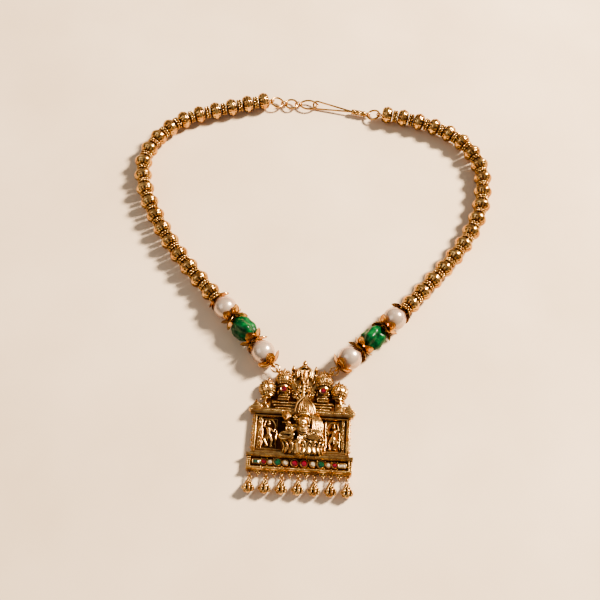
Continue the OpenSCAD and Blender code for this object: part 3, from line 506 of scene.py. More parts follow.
green_quartz, shader, place = new_finish("green_quartz")
cloud = noise(place, 2.6 * MM, 4)
flaws = noise(place, 0.8 * MM, 3)
tone = ramp(cloud, (0.32, (0.001, 0.02, 0.006)), (0.52, (0.004, 0.065, 0.018)), (0.72, (0.012, 0.15, 0.04)))
pale = ramp(flaws, (0.68, (0, 0, 0)), (0.78, (0.16, 0.22, 0.10)))
feed(shader, {
    "Base Color": blend(green_quartz.node_tree, 0.7, tone, pale, "ADD"),
    "Roughness": span(flaws, 0.3, 0.7, 0.2, 0.38),
    "Specular IOR Level": 0.22,
    "Normal": relief((cloud, 0.15 * MM, 0.25), (flaws, 0.04 * MM, 0.3))
})
for side in ("left", "right"):
    stone = drilled_ball(PEARL_RADIUS)
    for vertex in stone.data.vertices:
        if hypot(vertex.co.x, vertex.co.y) > BORE_RADIUS:
            carve(vertex.co)
    places = [place for place, height in strand[side] if height > GREEN_FROM]
    fitted(joined(f"lobed_green_{side}", copies(stone, places)), green_quartz, "carved_green",
           f"carved_green_{side}")
    smooth(70)


# Pendant back and base. The real one is a little temple front cast in brass in a few pieces and soldered to a
# flat sheet, gilded and dipped in oxide. Its base is two rails with a channel of bezel-set stones between.
def bar(low, high, bevel=0.14):
    """Bevelled bar between two corners, in millimetres."""
    bpy.ops.mesh.primitive_cube_add(size=MM, location=[(a + b) / 2 * MM for a, b in zip(low, high)])
    bpy.context.object.scale = [b - a for a, b in zip(low, high)]
    bpy.ops.object.transform_apply()
    opened_up()
    bpy.ops.mesh.bevel(offset=bevel * MM, segments=2, affect="EDGES")
    bpy.ops.object.mode_set(mode="OBJECT")
    smooth(50)
    return bpy.context.object


def moulding(profile, x_low, x_high):
    """Bar of one profile: an edge along X is extruded round the (y, z) points, in millimetres."""
    width = (x_high - x_low) * MM
    bpy.ops.mesh.primitive_plane_add(size=width, location=((x_low + x_high) / 2 * MM, 0, 0))
    bpy.ops.object.transform_apply()
    bpy.ops.object.mode_set(mode="EDIT")
    pick_points(lambda p: p.y > 0)
    bpy.ops.mesh.delete(type="VERT")
    bpy.ops.mesh.select_all(action="SELECT")
    (y, z), last = profile[0], profile[0]
    bpy.ops.transform.translate(value=(0, y * MM + width / 2, z * MM))
    for y, z in [*profile[1:], profile[0]]:
        step = (0, (y - last[0]) * MM, (z - last[1]) * MM)
        bpy.ops.mesh.extrude_region_move(TRANSFORM_OT_translate={"value": step})
        last = (y, z)
    bpy.ops.mesh.select_all(action="SELECT")
    bpy.ops.mesh.remove_doubles(threshold=0.001 * MM)
    for side in (x_low, x_high):
        pick_points(lambda p: abs(p.x - side * MM) < 0.001 * MM)
        bpy.ops.mesh.edge_face_add()
    piece = closed_up()
    smooth()
    return piece


def beaded(start, end, diameter):
    """Beaded wire from start to end in millimetres: a row of touching balls with few faces."""
    start, end = Vector(start), Vector(end)
    count = max(2, round((end - start).length / (0.86 * diameter)) + 1)
    piece = ball(diameter, start, 6, 5)
    shaped(piece, "ARRAY", use_relative_offset=False, use_constant_offset=True, count=count,
           constant_offset_displace=(end - start) / (count - 1) * MM)
    return piece


def mirrored(piece):
    """The piece and its twin on the other side of the pendant."""
    bpy.context.view_layer.update()
    twin = copies(piece, [Matrix.Identity(4)], keep=True)[0]
    picked(twin)
    bpy.ops.object.transform_apply()
    opened_up()
    bpy.ops.transform.resize(value=(-1, 1, 1), center_override=(0, 0, 0))
    return [piece, closed_up()]


def upright(at, tilt=0):
    """Matrix that lays a piece made on the Z axis along the pendant (+Y), in millimetres and degrees."""
    return (Matrix.Translation(Vector(at) * MM) @ Matrix.Rotation(radians(tilt), 4, "Z")
            @ Matrix.Rotation(-pi / 2, 4, "X"))


def on_pendant(steps, at, sides=20, tilt=0):
    """Turned piece whose axis runs up the pendant, from (radius, height) steps."""
    piece = turned(steps, sides)
    piece.matrix_world = upright(at, tilt)
    smooth(45)
    return piece


def wire(points, diameter, closed=False):
    """Round wire through points, in millimetres."""
    curve = bpy.data.curves.new("wire", "CURVE")
    curve.dimensions = "3D"
    curve.bevel_depth = diameter / 2 * MM
    curve.bevel_resolution = 1
    curve.use_fill_caps = True
    curve.resolution_u = 3
    spline = curve.splines.new("NURBS")
    spline.points.add(len(points) - 1)
    for knot, point in zip(spline.points, points):
        knot.co = (*(Vector(point) * MM), 1)
    spline.order_u = 3
    spline.use_endpoint_u = not closed
    spline.use_cyclic_u = closed
    piece = bpy.data.objects.new("wire", curve)
    bpy.context.collection.objects.link(piece)
    picked(piece)
    bpy.ops.object.convert(target="MESH")
    bpy.ops.object.shade_smooth()
    return bpy.context.object


def soldered(name, parts):
    """One piece of the pendant's gilt frame."""
    return fitted(joined(name, parts), antique_gold, "antique_gold", "shrine_frame")


antique_gold = gold_finish("antique_gold", (0.76, 0.48, 0.20), (0.46, 0.225, 0.085), (0.035, 0.009, 0.004),
                           1.7 * MM, 0.22, 0.5, 0.92)
BASE_LOW, WALL_LOW, CORNICE_LOW, ROOF_LOW = -22.6, -16.3, -1.4, 0.4
BASE_HALF, WALL_HALF, CORNICE_HALF = 18.5, 17.4, 19.3
PLATE = 1.2
OUTER_DOME, INNER_DOME, CREST_Y = (13.2, 9.0), (7.4, 12.7), 14.7
sheet = [bar((-BASE_HALF, BASE_LOW + 0.1, 0), (BASE_HALF, WALL_LOW, PLATE)),
         bar((-WALL_HALF, WALL_LOW - 0.5, 0), (WALL_HALF, CORNICE_LOW + 0.5, PLATE)),
         bar((-WALL_HALF + 0.5, CORNICE_LOW, 0), (WALL_HALF - 0.5, ROOF_LOW + 3.2, PLATE)),
         bar((-14.2, ROOF_LOW, 0), (14.2, 10.4, PLATE + 0.2))]
for x, y, radius, top in ((0, 11.9, 4.9, 1.6), (*OUTER_DOME, 2.85, 1.2), (*INNER_DOME, 3.4, 1.5)):
    disc = turned([(radius - 0.15, 0), (radius, 0.15), (radius, top - 0.15), (radius - 0.15, top)], 32)
    disc.location = (x * MM, y * MM, 0)
    sheet += mirrored(disc) if x else [disc]
soldered("back_sheet", sheet)

lower_rail = [(-22.45, 0.4), (-22.6, 0.6), (-22.6, 2.3), (-22.35, 2.5), (-22.5, 2.9), (-22.2, 3.4),
              (-21.8, 3.5), (-21.4, 3.35), (-21.2, 2.9), (-21.2, 1.9), (-21.2, 0.4)]
upper_rail = [(-17.5, 0.4), (-17.6, 1.9), (-17.6, 2.5), (-17.4, 2.7), (-17.5, 2.9), (-17.3, 3.3),
              (-16.8, 3.68), (-16.45, 3.6), (-16.35, 3.1), (-16.6, 2.8), (-16.5, 0.4)]
rails = [moulding(lower_rail, -BASE_HALF, BASE_HALF), moulding(upper_rail, -BASE_HALF - 0.3, BASE_HALF + 0.3),
         beaded((-BASE_HALF + 0.4, -21.75, 3.4), (BASE_HALF - 0.4, -21.75, 3.4), 0.42),
         beaded((-BASE_HALF + 0.4, -22.45, 2.55), (BASE_HALF - 0.4, -22.45, 2.55), 0.5),
         beaded((-BASE_HALF + 0.1, -17.45, 2.9), (BASE_HALF - 0.1, -17.45, 2.9), 0.36)]
for x in (17.4, 18.15):
    for k in range(5):
        rails += mirrored(ball(0.86, (x, -20.9 + 0.72 * k, 2.65 - 0.25 * (x - 17.4)), 10, 7))
soldered("base_rails", rails)

# Bezels. Collars of thin gilt strip are soldered to the channel's floor and rubbed over the edge of each
# stone, with a grain of metal in every corner between them.
STONE_LINE = -19.45
ROUND_STONES = ((1.63, 2.3), (4.81, 1.8), (7.60, 2.4), (10.25, 1.49), (12.45, 1.70))
collars = []
for x, diameter in ROUND_STONES:
    inner, outer, top = diameter / 2 + 0.04, diameter / 2 + 0.32, 1.98 + 0.34 * diameter + 0.16
    collar = turned([(outer, 1.7), (outer, top - 0.1), (outer - 0.1, top), (inner + 0.04, top - 0.02),
                     (inner, top - 0.3), (inner, 1.75)], 24)
    collar.location = (x * MM, STONE_LINE * MM, 0)
    smooth(50)
    collars += mirrored(collar)
for low, high in (((13.75, -20.35, 1.8), (16.45, -20.0, 2.75)), ((13.75, -18.9, 1.8), (16.45, -18.55, 2.75)),
                  ((13.65, -20.3, 1.8), (13.92, -18.6, 2.75)), ((16.3, -20.3, 1.8), (16.55, -18.6, 2.75))):
    collars += mirrored(bar(low, high, 0.08))
for x in (0, 3.25, 6.2, 8.98, 11.3, 13.4):
    for y in (-20.75, -18.15):
        grain = ball(0.5, (x, y, 2.15))
        collars += mirrored(grain) if x else [grain]
soldered("stone_collars", collars)

# Lower edge. Seven eyes of wire carry the drops. Between them granules are soldered to each other in points
# that hang like lace.
EYE_Y, EYE_Z, DROP_PITCH = -23.13, 1.6, 5.7
edge = []
for k in range(7):
    edge.append(wire_ring(0.65, 0.18, ((k - 3) * DROP_PITCH, EYE_Y, EYE_Z)))
lace = ((0, -22.75, 1.3), (-1.0, -22.8, 0.9), (1.0, -22.8, 0.9), (-0.45, -23.45, 0.85), (0.45, -23.45, 0.85),
        (0, -24.05, 0.75), (0, -24.65, 0.55))
for k in range(6):
    x = (k - 2.5) * DROP_PITCH
    edge += [ball(d, (x + dx, y, 1.9 if d > 0.6 else 1.85), 10, 7) for dx, y, d in lace]
soldered("lower_edge", edge)


# Wall of the shrine. Two pillars on each side with beaded wire, a sill and a lintel frame two deep panels
# that the oxide has left nearly black; a small dancer cast in relief is soldered into each.
def lump(at, size, turn=(0, 0, 0)):
    """Rounded swelling, in millimetres and degrees."""
    bpy.ops.mesh.primitive_uv_sphere_add(segments=16, ring_count=10, radius=MM / 2, location=Vector(at) * MM,
                                         rotation=[radians(angle) for angle in turn])
    bpy.context.object.scale = size
    return bpy.context.object


def limb(start, end, first, last):
    """Round limb between two points, with a diameter at each."""
    start, end = Vector(start), Vector(end)
    way = end - start
    bpy.ops.mesh.primitive_cone_add(vertices=14, radius1=first / 2 * MM, radius2=last / 2 * MM,
                                    depth=way.length * MM, location=(start + end) / 2 * MM)
    cone = bpy.context.object
    cone.rotation_mode = "QUATERNION"
    cone.rotation_quaternion = way.to_track_quat("Z", "Y")
    return joined("limb", [cone, lump(start, (first,) * 3), lump(end, (last,) * 3)])


def fused(parts, grid, share=1):
    """Casts overlapping parts into one skin: voxels of the grid size, smoothed, thinned to a share."""
    piece = joined("casting", parts)
    shaped(piece, "REMESH", mode="VOXEL", voxel_size=grid * MM)
    shaped(piece, "SMOOTH", factor=0.5, iterations=2)
    if share < 1:
        shaped(piece, "DECIMATE", ratio=share)
    bpy.ops.object.shade_smooth()
    return piece


oxidised_gold = gold_finish("oxidised_gold", (0.10, 0.035, 0.012), (0.04, 0.013, 0.005),
                            (0.012, 0.003, 0.001), 1.2 * MM, 0.5, 0.3, 0.8)
wall = [moulding([(-16.1, 0.4), (-16.1, 2.0), (-15.9, 2.4), (-15.5, 2.5), (-15.3, 2.2), (-15.1, 2.2),
                  (-14.9, 2.5), (-14.6, 2.4), (-14.4, 2.0), (-14.4, 0.4)], -WALL_HALF, WALL_HALF),
        moulding([(-2.5, 0.4), (-2.5, 2.4), (-2.3, 2.7), (-2.0, 2.75), (-1.8, 2.5), (-1.6, 2.5), (-1.5, 3.1),
                  (-1.1, 3.1), (-1.1, 0.4)], -WALL_HALF + 0.6, WALL_HALF - 0.6)]
for low, high in (((16.05, -15.8, 0.3), (17.4, -1.5, 2.5)), ((14.4, -15.2, 0.4), (15.45, -1.8, 2.15))):
    wall += mirrored(bar(low, high, 0.2))
    for shift in (-0.35, 0.35):
        x = (low[0] + high[0]) / 2 + shift
        wall += mirrored(beaded((x, low[1] + 0.5, high[2]), (x, high[1] - 0.6, high[2]), 0.36))
for x in (8.75, 14.15):
    wall += mirrored(wire([(x, -14.2, 1.35), (x, -8.55, 1.35), (x, -2.9, 1.35)], 0.42))
for y in (-14.1, -2.9):
    wall += mirrored(wire([(8.75, y, 1.35), (11.4, y, 1.35), (14.15, y, 1.35)], 0.42))
for k in range(5):
    y = WALL_LOW + (k + 0.9) * 14.9 / 5.7
    wall += mirrored(ball(1.1, (WALL_HALF, y, 1.6), 12, 8))
    wall += mirrored(ball(0.7, (WALL_HALF, y + 1.25, 1.6), 10, 7))
for k in range(4):
    wall += mirrored(ball(0.85, (14.95, WALL_LOW + (k + 1) * 14.9 / 5.1, 2.3), 12, 8))
soldered("wall_front", wall)
recess = [bar((-14.3, -14.5, 0.9), (14.3, -2.4, PLATE + 0.06), 0.03),
          bar((-11.8, 0.3, 0.9), (11.8, 9.6, 1.55), 0.05),
          bar((-BASE_HALF + 0.3, -21.3, 0.8), (BASE_HALF - 0.3, -17.4, 1.9), 0.05)]
fitted(joined("oxide_recess", recess), oxidised_gold, "antique_gold", "shrine_frame")


def small_figure(foot, side, swellings, limbs, cords):
    """Small figure cast in relief, with cords laid on, from places across, up and out from its foot."""
    def spot(place):
        return foot[0] + side * place[0], foot[1] + place[1], foot[2] + place[2]

    parts = [lump(spot(at), size) for at, size in swellings]
    parts += [limb(spot(start), spot(end), first, last) for start, end, first, last in limbs]
    body = fused(parts, 0.11)
    return [body, *(wire([spot(place) for place in places], thick) for thick, *places in cords)]


dancer_swellings = (((0.2, 8.5, 0.4), (1.5, 1.7, 1.3)), ((0.3, 9.5, 0.3), (0.9, 0.9, 0.8)),
                    ((0, 4.2, 0.3), (2.3, 1.8, 1.3)), ((0.9, 0.3, 0.1), (1.1, 0.45, 0.5)),
                    ((-1.3, 0.15, 0.1), (1.1, 0.45, 0.5)))
dancer_limbs = (((0, 4.6, 0.3), (0.35, 6.5, 0.4), 1.4, 1.9),
                ((0, 4.2, 0.2), (1.7, 2.9, 0.3), 1.4, 1.1), ((1.7, 2.9, 0.3), (0.4, 0.5, 0.1), 1.1, 0.7),
                ((-0.3, 4, 0.2), (-1.3, 2.3, 0.2), 1.4, 1.1), ((-1.3, 2.3, 0.2), (-0.9, 0.2, 0.1), 1.05, 0.7),
                ((0.6, 7.1, 0.4), (2.0, 7.7, 0.2), 0.85, 0.7), ((2.0, 7.7, 0.2), (1.5, 9.6, 0.2), 0.7, 0.5),
                ((-0.1, 7.0, 0.4), (-1.6, 5.7, 0.3), 0.85, 0.7),
                ((-1.6, 5.7, 0.3), (-2.2, 7.4, 0.2), 0.7, 0.5))
scarf_belt_and_train = ((0.55, (1.5, 9.6, 0.1), (0.2, 10.6, 0.1), (-1.6, 9.8, 0.1), (-2.3, 8, 0.1)),
                        (0.3, (-0.4, 4.6, 0.7), (0.3, 4.2, 0.9), (0.9, 4.5, 0.6)),
                        (0.36, (0.3, 4.1, 0.6), (0.2, 3.1, 0.5), (0.5, 2.2, 0.4)),
                        (0.6, (2.3, 6.6, 0), (2.5, 4.5, 0), (2.2, 2.2, 0), (2.6, 0.4, 0)),
                        (0.5, (-2.2, 1.0, 0), (-2.6, 2.6, 0.1), (-2.1, 3.9, 0), (-2.6, 5.0, 0)))
for side, name in ((-1, "left"), (1, "right")):
    foot = (side * 11.4, -13.6, PLATE + 0.25)
    dancer = small_figure(foot, side, dancer_swellings, dancer_limbs, scarf_belt_and_train)
    hands = [ball(0.6, (foot[0] + side * x, foot[1] + y, foot[2] + z))
             for x, y, z in ((-2.1, 7.9, 0.2), (1.5, 10, 0.1))]
    soldered(f"dancer_{name}", [*dancer, *hands])


# Cornice. A heavy eave with plain fillets over and under a beaded wire; its ends are drawn out to points, and
# a little stepped tower with a pot finial is soldered on at each corner.
def pot(at, height, diameter, tilt=0):
    """Pot finial pointing up the pendant."""
    shares = ((0.8, 0), (1, 0.06), (0.55, 0.16), (0.6, 0.2), (0.98, 0.34), (1, 0.44), (0.7, 0.58),
              (0.4, 0.64), (0.55, 0.7), (0.46, 0.78), (0.12, 1))
    return on_pendant([(out * diameter / 2, up * height) for out, up in shares], at, 14, tilt)


eave = [(-1.2, 0.6), (-1.2, 2.7), (-1.4, 3.0), (-1.4, 3.4), (-1.2, 3.55), (-1.25, 3.8), (-0.95, 4.1),
        (-0.7, 4.15), (-0.3, 4.1), (-0.1, 4.28), (0.15, 4.3), (0.3, 4.1), (0.3, 3.7), (0.1, 3.4), (0.25, 0.6)]
cornice = [moulding(eave, -CORNICE_HALF + 0.7, CORNICE_HALF - 0.7),
           beaded((-CORNICE_HALF + 0.9, -0.45, 4.05), (CORNICE_HALF - 0.9, -0.45, 4.05), 0.5),
           beaded((-CORNICE_HALF + 0.9, -1.35, 2.85), (CORNICE_HALF - 0.9, -1.35, 2.85), 0.42)]
point = turned([(0.95, 0), (0.8, 0.3), (0.5, 0.62), (0.16, 0.82)], 16)
point.matrix_world = (Matrix.Translation((18.45 * MM, -0.5 * MM, 3.35 * MM))
                      @ Matrix.Rotation(pi / 2, 4, "Y"))
cornice += mirrored(point)
for k in range(4):
    half = 2.3 - 0.5 * k
    cornice += mirrored(bar((16.9 - half, 0.2 + 0.72 * k, 0.9),
                            (16.9 + half, 0.86 + 0.72 * k, 3.4 - 0.25 * k), 0.16))
cornice += mirrored(pot((16.9, 2.9, 2.1), 1.4, 1.1))
soldered("cornice", cornice)

# Attendants. A small figure cast in relief strides on the eave under each outer dome, soldered at the feet
# and the back.
attendant_swellings = (((-0.4, 5.3, 0.2), (1.4, 1.6, 1.3)), ((-0.5, 6.0, 0.1), (1.0, 0.8, 0.9)),
                       ((0.2, 2.5, 0.1), (1.5, 1.2, 1.1)), ((-1.9, 5.2, 0.1), (0.8, 1.0, 0.7)),
                       ((1.7, 3.4, 0.2), (0.7, 0.7, 0.7)))
attendant_limbs = (((0.2, 2.7, 0.1), (-0.2, 4.2, 0.2), 1.0, 1.2),
                   ((0.3, 2.4, 0.1), (1.5, 1.6, 0.2), 0.8, 0.65),
                   ((1.5, 1.6, 0.2), (0.9, 0.1, 0.1), 0.6, 0.45),
                   ((0, 2.3, 0), (-0.9, 1.3, 0.1), 0.8, 0.62), ((-0.9, 1.3, 0.1), (-1.3, 0.1, 0), 0.6, 0.45),
                   ((-0.5, 4.2, 0.2), (-1.7, 4.6, 0.1), 0.5, 0.42),
                   ((0.1, 4.1, 0.2), (1.4, 3.5, 0.2), 0.5, 0.42))
attendant_belt = ((0.26, (-0.5, 2.8, 0.6), (0.2, 2.5, 0.8), (0.9, 2.7, 0.5)),)
for side, name in ((-1, "left"), (1, "right")):
    foot = (side * 13.7, 0.3, 2.9)
    attendant = small_figure(foot, side, attendant_swellings, attendant_limbs, attendant_belt)
    soldered(f"attendant_{name}", attendant)

# Roof. Courses of plain and beaded moulding that widen upwards like a capital, a block under each ruby, four
# pot domes chased with ribs and grains, and their finials. All are soldered to the sheet.
roof = []
for k in range(3):
    half, y, top = 9.9 + 0.65 * k, ROOF_LOW + 0.1 + 1.12 * k, 3.3 - 0.15 * k
    roof.append(bar((-half, y, 0.6), (half, y + 0.72, top), 0.16))
    roof.append(bar((-half + 0.5, y + 0.7, 0.6), (half - 0.5, y + 1.14, top - 0.6), 0.1))
    roof.append(beaded((-half + 0.2, y + 0.36, top), (half - 0.2, y + 0.36, top), 0.4))
for x_low, x_high, y, top in ((5.2, 9.2, 3.9, 3.2), (5.0, 9.0, 5.0, 3.0), (5.6, 8.6, 6.0, 2.7)):
    roof += mirrored(bar((x_low, y, 0.8), (x_high, y + 0.8, top), 0.14))
    roof += mirrored(beaded((x_low + 0.25, y + 0.4, top), (x_high - 0.25, y + 0.4, top), 0.38))
for x in (5.2, 9.1):
    roof += mirrored(pot((x, 6.5, 2.1), 2.3, 1.1))
RUBY = (7.2, 8.1)
collar = turned([(1.55, 0.6), (1.55, 2.8), (1.4, 3.0), (1.3, 3.0), (1.27, 3.9), (1.16, 4.0), (1.06, 3.95),
                 (0.98, 3.7), (0.98, 3.15)], 28)
collar.location = (RUBY[0] * MM, RUBY[1] * MM, 0)
smooth(45)
roof += mirrored(collar)
soldered("roof_courses", roof)


def chased_dome(at, radius, ribs, rows, tilt):
    """Pot dome on a neck, with ribs pressed in and rows of grains, cut flat at the pendant's back."""
    heights = (-0.78, -0.6, -0.4, -0.2, 0, 0.2, 0.4, 0.6, 0.76, 0.88)
    foot = ((0.7, -1.18), (0.82, -1.12), (0.82, -1.0), (0.62, -0.94), (0.62, -0.86))
    swell = [(sqrt(1 - height * height), height) for height in heights]
    piece = turned([*foot, *swell, (0.5, 0.92), (0.4, 0.98)], 4 * ribs, radius * MM)
    bpy.ops.object.mode_set(mode="EDIT")
    pick_points(lambda p: abs(p.z) < 0.8 * radius * MM
                and round(atan2(p.y, p.x) / tau * 4 * ribs + 0.5) % 4 == 0)
    bpy.ops.transform.shrink_fatten(value=-0.09 * radius * MM)
    bpy.ops.object.mode_set(mode="OBJECT")
    smooth(35)
    grains = []
    for height, count, size in rows:
        ring = radius * sqrt(max(0.05, 1 - height * height)) - 0.16
        grains += copies(ball(size, segments=6, rings=5), ring_places(count, ring, height * radius, 0.5))
    dome = joined("dome", [piece, *grains])
    dome.matrix_world = upright(at, tilt)
    bpy.ops.object.transform_apply()
    opened_up()
    bpy.ops.mesh.bisect(plane_co=(0, 0, 0.12 * MM), plane_no=(0, 0, 1), use_fill=True, clear_inner=True)
    bpy.ops.object.mode_set(mode="OBJECT")
    return dome


def leaf(at, length, width, tilt, rise=0.0):
    """Pointed leaf with a raised midrib, pointing up the pendant."""
    bpy.ops.mesh.primitive_uv_sphere_add(segments=10, ring_count=8, radius=MM / 2)
    bpy.ops.object.mode_set(mode="EDIT")
    pick_points(lambda p: p.y > 0.2 * MM)
    bpy.ops.transform.resize(value=(0.45, 1.25, 0.6), center_override=(0, 0.2 * MM, 0))
    pick_points(lambda p: abs(p.x) < 0.05 * MM)
    bpy.ops.transform.resize(value=(1, 1, 1.5), center_override=(0, 0, 0))
    bpy.ops.object.mode_set(mode="OBJECT")
    piece = bpy.context.object
    piece.scale = (width, length, 0.55 * width)
    piece.rotation_euler = (radians(rise), 0, radians(tilt))
    piece.location = Vector(at) * MM
    smooth(40)
    return piece


domes = []
inner_rows = [(-0.62, 16, 0.75), (-0.3, 20, 0.7), (0.0, 22, 0.7), (0.32, 20, 0.7), (0.66, 15, 0.7)]
outer_rows = [(-0.72, 15, 0.75), (-0.45, 20, 0.7), (-0.15, 22, 0.7), (0.15, 22, 0.7), (0.45, 20, 0.7),
              (0.74, 14, 0.7)]
domes += mirrored(chased_dome((INNER_DOME[0], INNER_DOME[1] - 0.2, 1.7), 3.05, 10, inner_rows, 0))
domes += mirrored(chased_dome((OUTER_DOME[0], OUTER_DOME[1] - 0.2, 1.4), 3.15, 9, outer_rows, -8))
for angle in (-62, -32, 0, 32, 62):
    turn = radians(angle)
    at = (INNER_DOME[0] - 1.7 * sin(turn), INNER_DOME[1] + 2.3 + 0.7 * cos(turn), 2.9)
    domes += mirrored(leaf(at, 1.5, 0.9, angle))
domes += mirrored(pot((INNER_DOME[0], INNER_DOME[1] + 2.7, 2.1), 2.0, 1.3))
domes += mirrored(pot((OUTER_DOME[0] - 0.4, OUTER_DOME[1] + 2.6, 1.9), 1.7, 1.1, -8))
for k in range(7):
    angle = radians(-28 + 24 * k)
    at = (OUTER_DOME[0] + 3.05 * cos(angle), OUTER_DOME[1] + 3.05 * sin(angle), 2.1)
    domes += mirrored(ball(0.72, at))
soldered("pot_domes", domes)

# Crest. A horseshoe arch with a double rim round a ridged drop, a tall finial over it and a pine-cone finial
# on each side, with scrolls under it; small castings soldered together.
crest = []


def arch(radius, rise, thick, reach=118):
    """Horseshoe of wire round the crest's middle."""
    turns = [radians(-reach + 2 * reach * k / 14) for k in range(15)]
    return wire([(radius * sin(a), CREST_Y + 0.1 + radius * 1.12 * cos(a), rise) for a in turns], thick)


crest += [arch(2.75, 3.0, 0.85), arch(2.1, 3.35, 0.5), arch(3.2, 2.6, 0.45)]
crest += [leaf((0, CREST_Y - 0.9, 3.3), 6.4, 3.1, 180), leaf((0, CREST_Y - 0.6, 3.9), 4.6, 1.3, 180)]
for x in (-1.15, -0.75, 0.75, 1.15):
    crest.append(wire([(x, CREST_Y + 1.2, 3.9), (0.75 * x, CREST_Y - 1.6, 4.0),
                       (0.1 * x, CREST_Y - 3.8, 3.7)], 0.3))
finial_steps = [(1.45, 0), (1.5, 0.35), (1.05, 0.55), (1.2, 0.8), (1.25, 1.2), (0.85, 1.6), (0.6, 1.75),
                (0.85, 2.0), (0.9, 2.5), (0.6, 3.1), (0.2, 3.6)]
crest.append(on_pendant(finial_steps, (0, 17.0, 2.7)))
cone_steps = [(0.6, 0), (0.75, 0.15), (0.6, 0.35), (0.85, 0.55), (0.72, 0.8), (0.8, 0.95), (0.6, 1.25),
              (0.64, 1.4), (0.42, 1.8), (0.42, 1.95), (0.12, 2.6)]
crest += mirrored(on_pendant(cone_steps, (4.2, 16.2, 1.7), 12))
crest += mirrored(bar((3.6, 12.2, 0.6), (4.8, 16.5, 1.7), 0.3))
crest += mirrored(wire([(2.2, 10.2, 2.4), (3.3, 10.9, 2.6), (3.9, 12.1, 2.5), (3.5, 13.2, 2.3),
                        (2.9, 12.6, 2.4)], 0.5))
for x, y, length, tilt in ((1.5, 8.6, 2.9, -38), (2.6, 7.7, 2.6, -62), (1.4, 6.4, 2.9, -30),
                           (2.9, 5.6, 2.6, -70), (1.0, 10.3, 2.2, -25)):
    crest += mirrored(leaf((x, y, 2.7), length, 1.25, tilt, -8))
for k in range(6):
    crest.append(leaf((0, 5.2 + 1.2 * k, 3.0), 2.3, 1.5, 0, -10))
for x, y in ((2.1, 9.6), (3.2, 6.6)):
    curl = [(x + 0.75 * cos(a), y + 0.75 * sin(a), 2.9) for a in (0.4 * j for j in range(13))]
    crest += mirrored(wire(curl, 0.42))
for x, y, d in ((2.1, 9.6, 0.9), (3.2, 6.6, 0.9), (3.9, 14.6, 0.9), (4.6, 15.6, 0.8), (1.9, 7.2, 1.0),
                (4.1, 8.0, 0.8), (2.0, 5.0, 1.0)):
    crest += mirrored(ball(d, (x, y, 2.5), 12, 8))
crest += [bar((-2.3, 3.4, 0.9), (2.3, 10.6, 2.2), 0.3), bar((-1.6, 10.2, 0.9), (1.6, 17.2, 2.6), 0.3)]
soldered("crest", crest)

# Ears. Two loops of thick wire, soldered to short rods behind the inner domes, carry the links of the strands
# and with them the whole weight of the pendant.
ears = []
for side in (-1, 1):
    eye, way = Vector((side * 10, 15.5, 3.2)), Vector((side * 0.66, 0.75, 0))
    loop = wire_ring(0.95, 0.3, around=28, across=10)
    loop.matrix_world = facing(eye * MM, way.cross((0, 0, 1)))
    ears += [loop, wire([(side * 7.4, 12.7, 2), (side * 8.2, 13.6, 2.8), eye - 1.1 * way], 1.1)]
    ears += [ball(1.3, eye - 1.3 * way, 12, 8)]
soldered("ears", ears)


# Seated figure. A calm goddess of no particular likeness, cast solid with her dress in one piece, chased,
# gilded and rubbed bright on what stands high, then riveted through the sheet.
SEAT = Vector((0.9, -13.8, 1.3))


def seated(*places):
    """Points of the figure from its own places, which start at the middle of the lotus."""
    return [tuple(SEAT + Vector(place)) for place in places]


def riveted(name, parts):
    """One piece of the figure's casting."""
    return fitted(joined(name, parts), antique_gold, "figure_gold", "goddess_figure")


def swelling(at, size, turn=0):
    """Rounded part of the figure, turned in its own plane."""
    return lump(*seated(at), size, (0, 0, turn))


def member(start, end, first, last):
    """Arm, leg or neck of the figure."""
    return limb(*seated(start, end), first, last)


body = fused([
    swelling((0, 1.2, 1.9), (14.4, 4.6, 5.0)), member((0, 3.4, 3.2), (-0.2, 6.8, 3.5), 4.6, 5.0),
    swelling((-0.2, 9.4, 2.9), (6.0, 7.4, 4.4)), swelling((-0.3, 8.3, 4.9), (3.8, 5.0, 4.0)),
    swelling((-0.35, 9.5, 6.2), (2.9, 0.7, 0.9)), swelling((-0.35, 8.1, 6.85), (0.55, 1.3, 0.7)),
    swelling((-0.35, 7.05, 6.65), (1.1, 0.34, 0.45)), swelling((-0.35, 6.4, 6.1), (1.3, 0.8, 1.0)),
    swelling((-1.2, 7.6, 6.1), (1.3, 1.6, 1.1)), swelling((0.5, 7.6, 6.1), (1.3, 1.6, 1.1)),
    swelling((-1.1, 8.75, 6.65), (0.8, 0.34, 0.4)), swelling((0.4, 8.75, 6.65), (0.8, 0.34, 0.4)),
    member((-2.2, 6.6, 3.6), (-4.4, 4.9, 4.2), 2.1, 1.5),
    member((-4.4, 4.9, 4.2), (-5.0, 5.6, 4.9), 1.4, 1.2),
    member((-2.0, 7.6, 3.0), (-4.9, 7.4, 2.8), 1.9, 1.4),
    member((-4.9, 7.4, 2.8), (-6.1, 9.2, 2.9), 1.4, 1.0),
    swelling((-6.3, 10.8, 2.9), (2.6, 4.3, 2.2), 12), swelling((4.1, 8.2, 2.7), (5.9, 9.8, 3.9), 14),
    swelling((3.5, 3.7, 3.5), (7.6, 5.0, 3.9)), swelling((-5.7, 3.3, 2.7), (6.2, 3.4, 2.6)),
    member((-0.7, 3.0, 4.3), (-1.6, 0.4, 4.6), 2.4, 2.4),
    member((-1.6, 0.4, 4.6), (-1.4, -2.4, 4.3), 2.4, 1.7),
    swelling((-0.7, -2.9, 2.9), (3.6, 1.7, 2.0)), swelling((6.9, 2.6, 3.0), (1.9, 2.4, 2.4))
], 0.14, 0.5)

